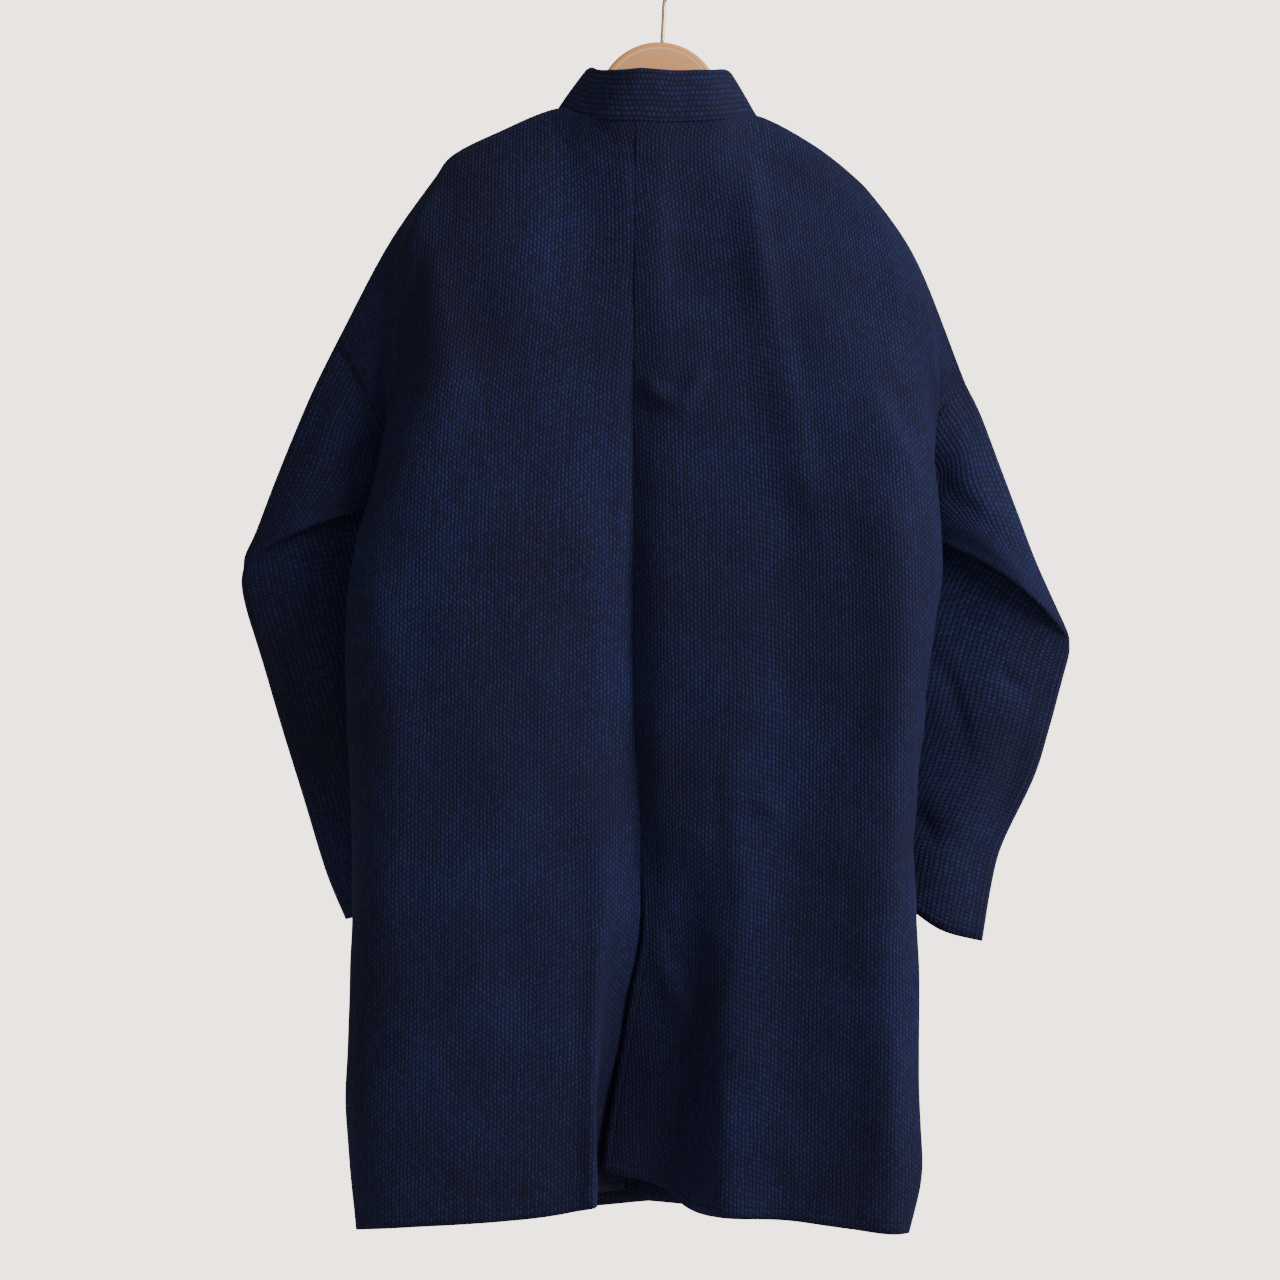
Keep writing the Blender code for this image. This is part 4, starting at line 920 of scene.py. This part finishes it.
hangerValues = {
    "tilt": math.radians(3.1), "thick": 12.0, "headRadius": 50.0, "headUp": 9.0, "headAt": (-4.0, 0.0),
    "rim": 3.6, "headEnds": 0.06,                   # mm of rounding; radians left off the head's arc
    "wire": 1.65, "hook": 20.65,                    # mm, the wire's half thickness and its bend's radius
    "stemFrom": 0.4, "stem": (18, 30, 42),          # mm up from the head, and up from the tables' zero
    "neck": [(2.5, 5), (8, 9.5)],                   # mm across and up from the stem's end
    "bend": (-44, 206, 10), "places": 110,          # degrees round the rail in steps; rings along the wire
    "arm": [(66, -54), (82, -57), (108, -67), (132, -79), (154, -94), (168, -107), (174, -116), (172, -122),
            (164, -122), (142, -110), (116, -96), (88, -84), (56, -76), (26, -72)],
}


def tilted(across, down):
    sine, cosine = math.sin(hangerValues["tilt"]), math.cos(hangerValues["tilt"])
    return (hangerValues["headAt"][0] + across * cosine + down * sine,
            hangerValues["headAt"][1] - across * sine + down * cosine)


# rim is the painted shade on the head's rounded rim, line the painted highlight just inside it
beechLook = {"pale": "#ffbf7c", "deep": "#f8ae69", "fleck": "#c98a50", "rim": "#ffb064", "line": "#ffdca6",
             "roughness": 0.38, "coat": 0.35, "coatRoughness": 0.22, "ringScale": 26.0, "fleckScale": 150.0,
             "grown": (1.0, 2.2, 7.0), "bent": 0.6,       # how the rings are squeezed and how they wander
             "fleckSums": (0.60, 0.74), "fleckShare": 0.6, "fleckRise": 0.25,
             "relief": 0.15, "rimShadeAt": 4.4, "highlightAt": 5.2, "highlightHalf": 0.55}
brassLook = {"deep": "#c9b083", "pale": "#e6d5ae", "patchScale": 220.0, "dullFrom": 0.18, "dullBy": 0.22}


def beech():
    # beech board, sanded and clear varnished: warm tan, fine short dark flecks along the grain, satin gloss
    look = beechLook
    material, tree, shader = newMaterial("beech, sanded and varnished", look["roughness"])
    place = addNode(tree, "TexCoord", out="Object")
    turned = addNode(tree, "Mapping", {}, {"Vector": place, "Rotation": (0, hangerValues["tilt"], 0),
                                           "Scale": look["grown"]})
    rings = addNode(tree, "TexNoise", {}, {"Vector": turned, "Scale": look["ringScale"], "Detail": 4.0,
                                           "Distortion": look["bent"]}, "Fac")
    drawn = addNode(tree, "Mapping", {}, {"Vector": turned, "Scale": (1.0, 1.0, 3.0)})
    flecks = addNode(tree, "TexNoise", {},
                     {"Vector": drawn, "Scale": look["fleckScale"], "Detail": 2.0}, "Fac")
    colour = addNode(tree, "Mix", {"data_type": "RGBA"},
                     {"Factor": rings, 6: toLinear(look["deep"]), 7: toLinear(look["pale"])}, 2)
    low, high = look["fleckSums"]
    marks = addNode(tree, "MapRange", {},
                    {"Value": flecks, "From Min": low, "From Max": high, "To Max": look["fleckShare"]})
    # painted shade makes the head's turned rim a little redder, and a painted highlight runs as a thin pale
    # line inside it
    radius = hangerValues["headRadius"]
    middle = tilted(0, hangerValues["headUp"] - radius)
    away = addNode(tree, "VectorMath", {"operation": "DISTANCE"},
                   {0: place, 1: inMetres((middle[0], -hangerValues["thick"] / 2, middle[1]))}, "Value")
    band = addNode(tree, "MapRange", {}, {"Value": away, "From Min": (radius - look["rimShadeAt"] - 0.5) * mm,
                                          "From Max": (radius - look["rimShadeAt"] + 0.5) * mm})
    ended = addNode(tree, "MapRange", {}, {"Value": away, "From Min": (radius + 0.3) * mm,
                                           "From Max": (radius + 1.5) * mm, "To Min": 1.0, "To Max": 0.0})
    rimShadeShare = addNode(tree, "Math", {"operation": "MULTIPLY"}, {0: band, 1: ended})
    highlightShare = addNode(tree, "Math", {"operation": "COMPARE"},
                        {0: away, 1: (radius - look["highlightAt"]) * mm, 2: look["highlightHalf"] * mm})
    for share, tone in ((marks, "fleck"), (rimShadeShare, "rim"), (highlightShare, "line")):
        colour = addNode(tree, "Mix", {"data_type": "RGBA"},
                         {"Factor": share, 6: colour, 7: toLinear(look[tone])}, 2)
    bump = addNode(tree, "Bump", {},
                   {"Height": flecks, "Strength": look["fleckRise"], "Distance": look["relief"] * mm})
    tree.links.new(colour, shader.inputs["Base Color"])
    tree.links.new(bump, shader.inputs["Normal"])
    shader.inputs["Coat Weight"].default_value = look["coat"]
    shader.inputs["Coat Roughness"].default_value = look["coatRoughness"]
    return material


def brass():
    # steel wire plated with pale brass: smooth and bright, a little dull in patches
    look = brassLook
    material, tree, shader = newMaterial("brass-plated wire, drawn", 0.3, 1.0)
    place = addNode(tree, "TexCoord", out="Object")
    patches = addNode(tree, "TexNoise", {},
                      {"Vector": place, "Scale": look["patchScale"], "Detail": 3.0}, "Fac")
    colour = addNode(tree, "Mix", {"data_type": "RGBA"},
                     {"Factor": patches, 6: toLinear(look["deep"]), 7: toLinear(look["pale"])}, 2)
    dull = addNode(tree, "Math", {"operation": "MULTIPLY_ADD"},
                   {0: patches, 1: look["dullBy"], 2: look["dullFrom"]})
    tree.links.new(colour, shader.inputs["Base Color"])
    tree.links.new(dull, shader.inputs["Roughness"])
    return material


def hanger():
    # the board's outline is cut, given its thickness, and its rims are rounded
    v = hangerValues
    outline = [(v["headRadius"] * math.cos(a), v["headUp"] + v["headRadius"] * (math.sin(a) - 1))
               for a in np.linspace(v["headEnds"], math.pi - v["headEnds"], 64)]
    arm = smoothAt(np.arange(len(v["arm"])), v["arm"], np.linspace(0, len(v["arm"]) - 1, 3 * len(v["arm"])))
    outline += [(-x, z) for x, z in arm] + [tuple(p) for p in arm[::-1]]
    bm = bmesh.new()
    corners = []
    for across, down in outline:
        x, z = tilted(across, down)
        corners.append(bm.verts.new(inMetres((x, -v["thick"] / 2, z))))
    face = bm.faces.new(corners)
    moved = bmesh.ops.extrude_face_region(bm, geom=[face])["geom"]
    bmesh.ops.translate(bm, verts=[g for g in moved if isinstance(g, bmesh.types.BMVert)],
                        vec=(0, v["thick"] * mm, 0))
    bmesh.ops.recalc_face_normals(bm, faces=bm.faces)
    rims = [e for e in bm.edges if len({round(p.co.y, 6) for p in e.verts}) == 1]
    bmesh.ops.bevel(bm, geom=rims, offset=v["rim"] * mm, offset_type="OFFSET", affect="EDGES", segments=5,
                    profile=0.5, material=-1, clamp_overlap=True)
    bmesh.ops.triangulate(bm, faces=[f for f in bm.faces if len(f.verts) > 4])
    return newItem("hangerBoard", bm, beech())


def hook():
    # a round wire swept along its route; the bend is a turn about the rail that it hangs on
    v = hangerValues
    route = [tilted(0, up) for up in (v["headUp"] + v["stemFrom"],) + v["stem"]]
    endAcross, endUp = route[-1]
    route += [(endAcross + across, endUp + up) for across, up in v["neck"]]
    centre = headDrop - (v["hook"] - v["wire"])
    route += [(v["hook"] * math.cos(a), centre + v["hook"] * math.sin(a))
              for a in np.radians(np.arange(*v["bend"]))]
    fine = smoothAt(np.arange(len(route)), route, np.linspace(0, len(route) - 1, 5 * len(route)))
    fine = evenly(fine, v["places"])
    way = np.gradient(fine, axis=0)
    way /= np.linalg.norm(way, axis=1)[:, None]
    bm = bmesh.new()
    rings = []
    for (x, z), (wx, wz) in zip(fine, way):
        ring = bmesh.ops.create_circle(bm, segments=16, radius=v["wire"] * mm)["verts"]
        for p in ring:
            p.co = Vector(inMetres((x, 0, z))) + Vector((-wz * p.co.x, p.co.y, wx * p.co.x))
        rings.append({e for p in ring for e in p.link_edges})
    for one, after in zip(rings[:-1], rings[1:]):
        bmesh.ops.bridge_loops(bm, edges=list(one | after))
    bmesh.ops.holes_fill(bm, edges=[e for e in bm.edges if e.is_boundary], sides=0)
    tips = [e for e in bm.edges if any(len(f.verts) > 4 for f in e.link_faces)]
    bmesh.ops.bevel(bm, geom=tips, offset=0.5 * mm, offset_type="OFFSET", affect="EDGES", segments=3,
                    profile=0.5, material=-1)
    bmesh.ops.recalc_face_normals(bm, faces=bm.faces)
    return newItem("hangerHook", bm, brass())


board, wire = hanger(), hook()
print("stage: hanger shaped")


# the CAD parts are hidden, and the new pieces are hung under one root

for side in ("left", "right"):
    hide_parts("body_" + side)
    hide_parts("sleeve_" + side)
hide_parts("collar")
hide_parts("hanger")
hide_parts("hook")
for piece, slotName in ((panels["left"][0], "indigo_cotton"), (panels["right"][0], "indigo_cotton"),
                        (sleeves["left"], "indigo_cotton"), (sleeves["right"], "indigo_cotton"),
                        (band, "collar_cotton"), (board, "hanger_wood"), (wire, "hook_wire")):
    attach(piece, "root")


# room, light and camera

roomValues = {
    "floor": -2.4, "wide": 9.0, "deep": 10.0,       # m, the floor's height and size
    "pale": "#f8ece3", "seen": 3.9, "fill": 0.26,   # the wall's colour, how bright it looks and how it lights
    "lamps": [("windowLight", (2.4, -1.3, 0.9), 1.5, 126.0, "#f6f2ff"),
              ("roomLight", (-1.6, -3.0, 0.4), 2.6, 14.0, "#f6f2ff"),
              ("backLight", (0.4, 2.8, -0.1), 1.8, 30.0, "#ffffff")],
    "aim": (0, 0, -0.55),                           # m, the jacket's middle, where every lamp points
    "lens": 77.3, "sensor": 36.0, "eye": (-0.0216, -2.24, -0.5726),
}


def painted():
    # floor painted matt off-white
    material, _, shader = newMaterial("plaster, painted matt", 0.95)
    shader.inputs["Base Color"].default_value = toLinear(roomValues["pale"])
    return material


def room():
    # a flat floor far below; the wall is the room's own pale colour
    bm = bmesh.new()
    bmesh.ops.create_grid(bm, x_segments=1, y_segments=24, size=0.5)
    for p in bm.verts:
        p.co = Vector((p.co.x * roomValues["wide"], p.co.y * roomValues["deep"], roomValues["floor"]))
    item = newItem("roomBackdrop", bm, painted())


room()


def addLight(name, place, size, power, colour):
    lamp = bpy.data.lights.new(name, "AREA")
    lamp.size, lamp.energy, lamp.color = size, power, toLinear(colour)[:3]
    item = bpy.data.objects.new(name, lamp)
    item.location = place
    item.rotation_euler = (Vector(roomValues["aim"]) - Vector(place)).to_track_quat("-Z", "Y").to_euler()
    bpy.context.collection.objects.link(item)


for row in roomValues["lamps"]:
    addLight(*row)
world = bpy.data.worlds.new("room")
world.use_nodes = True
seen = addNode(world.node_tree, "LightPath", out="Is Camera Ray")   # the wall looks pale, and fills little
strength = addNode(world.node_tree, "Math", {"operation": "MULTIPLY_ADD"},
                   {0: seen, 1: roomValues["seen"] - roomValues["fill"], 2: roomValues["fill"]})
sky = world.node_tree.nodes["Background"]
sky.inputs["Color"].default_value = toLinear(roomValues["pale"])
world.node_tree.links.new(strength, sky.inputs["Strength"])
bpy.context.scene.world = world

eye = bpy.data.cameras.new("camera")
eye.lens, eye.sensor_width = roomValues["lens"], roomValues["sensor"]
eyeItem = bpy.data.objects.new("camera", eye)
eyeItem.location = roomValues["eye"]
eyeItem.rotation_euler = (math.pi / 2, 0, 0)
bpy.context.collection.objects.link(eyeItem)
bpy.context.scene.camera = eyeItem
print("stage: room, light and camera")
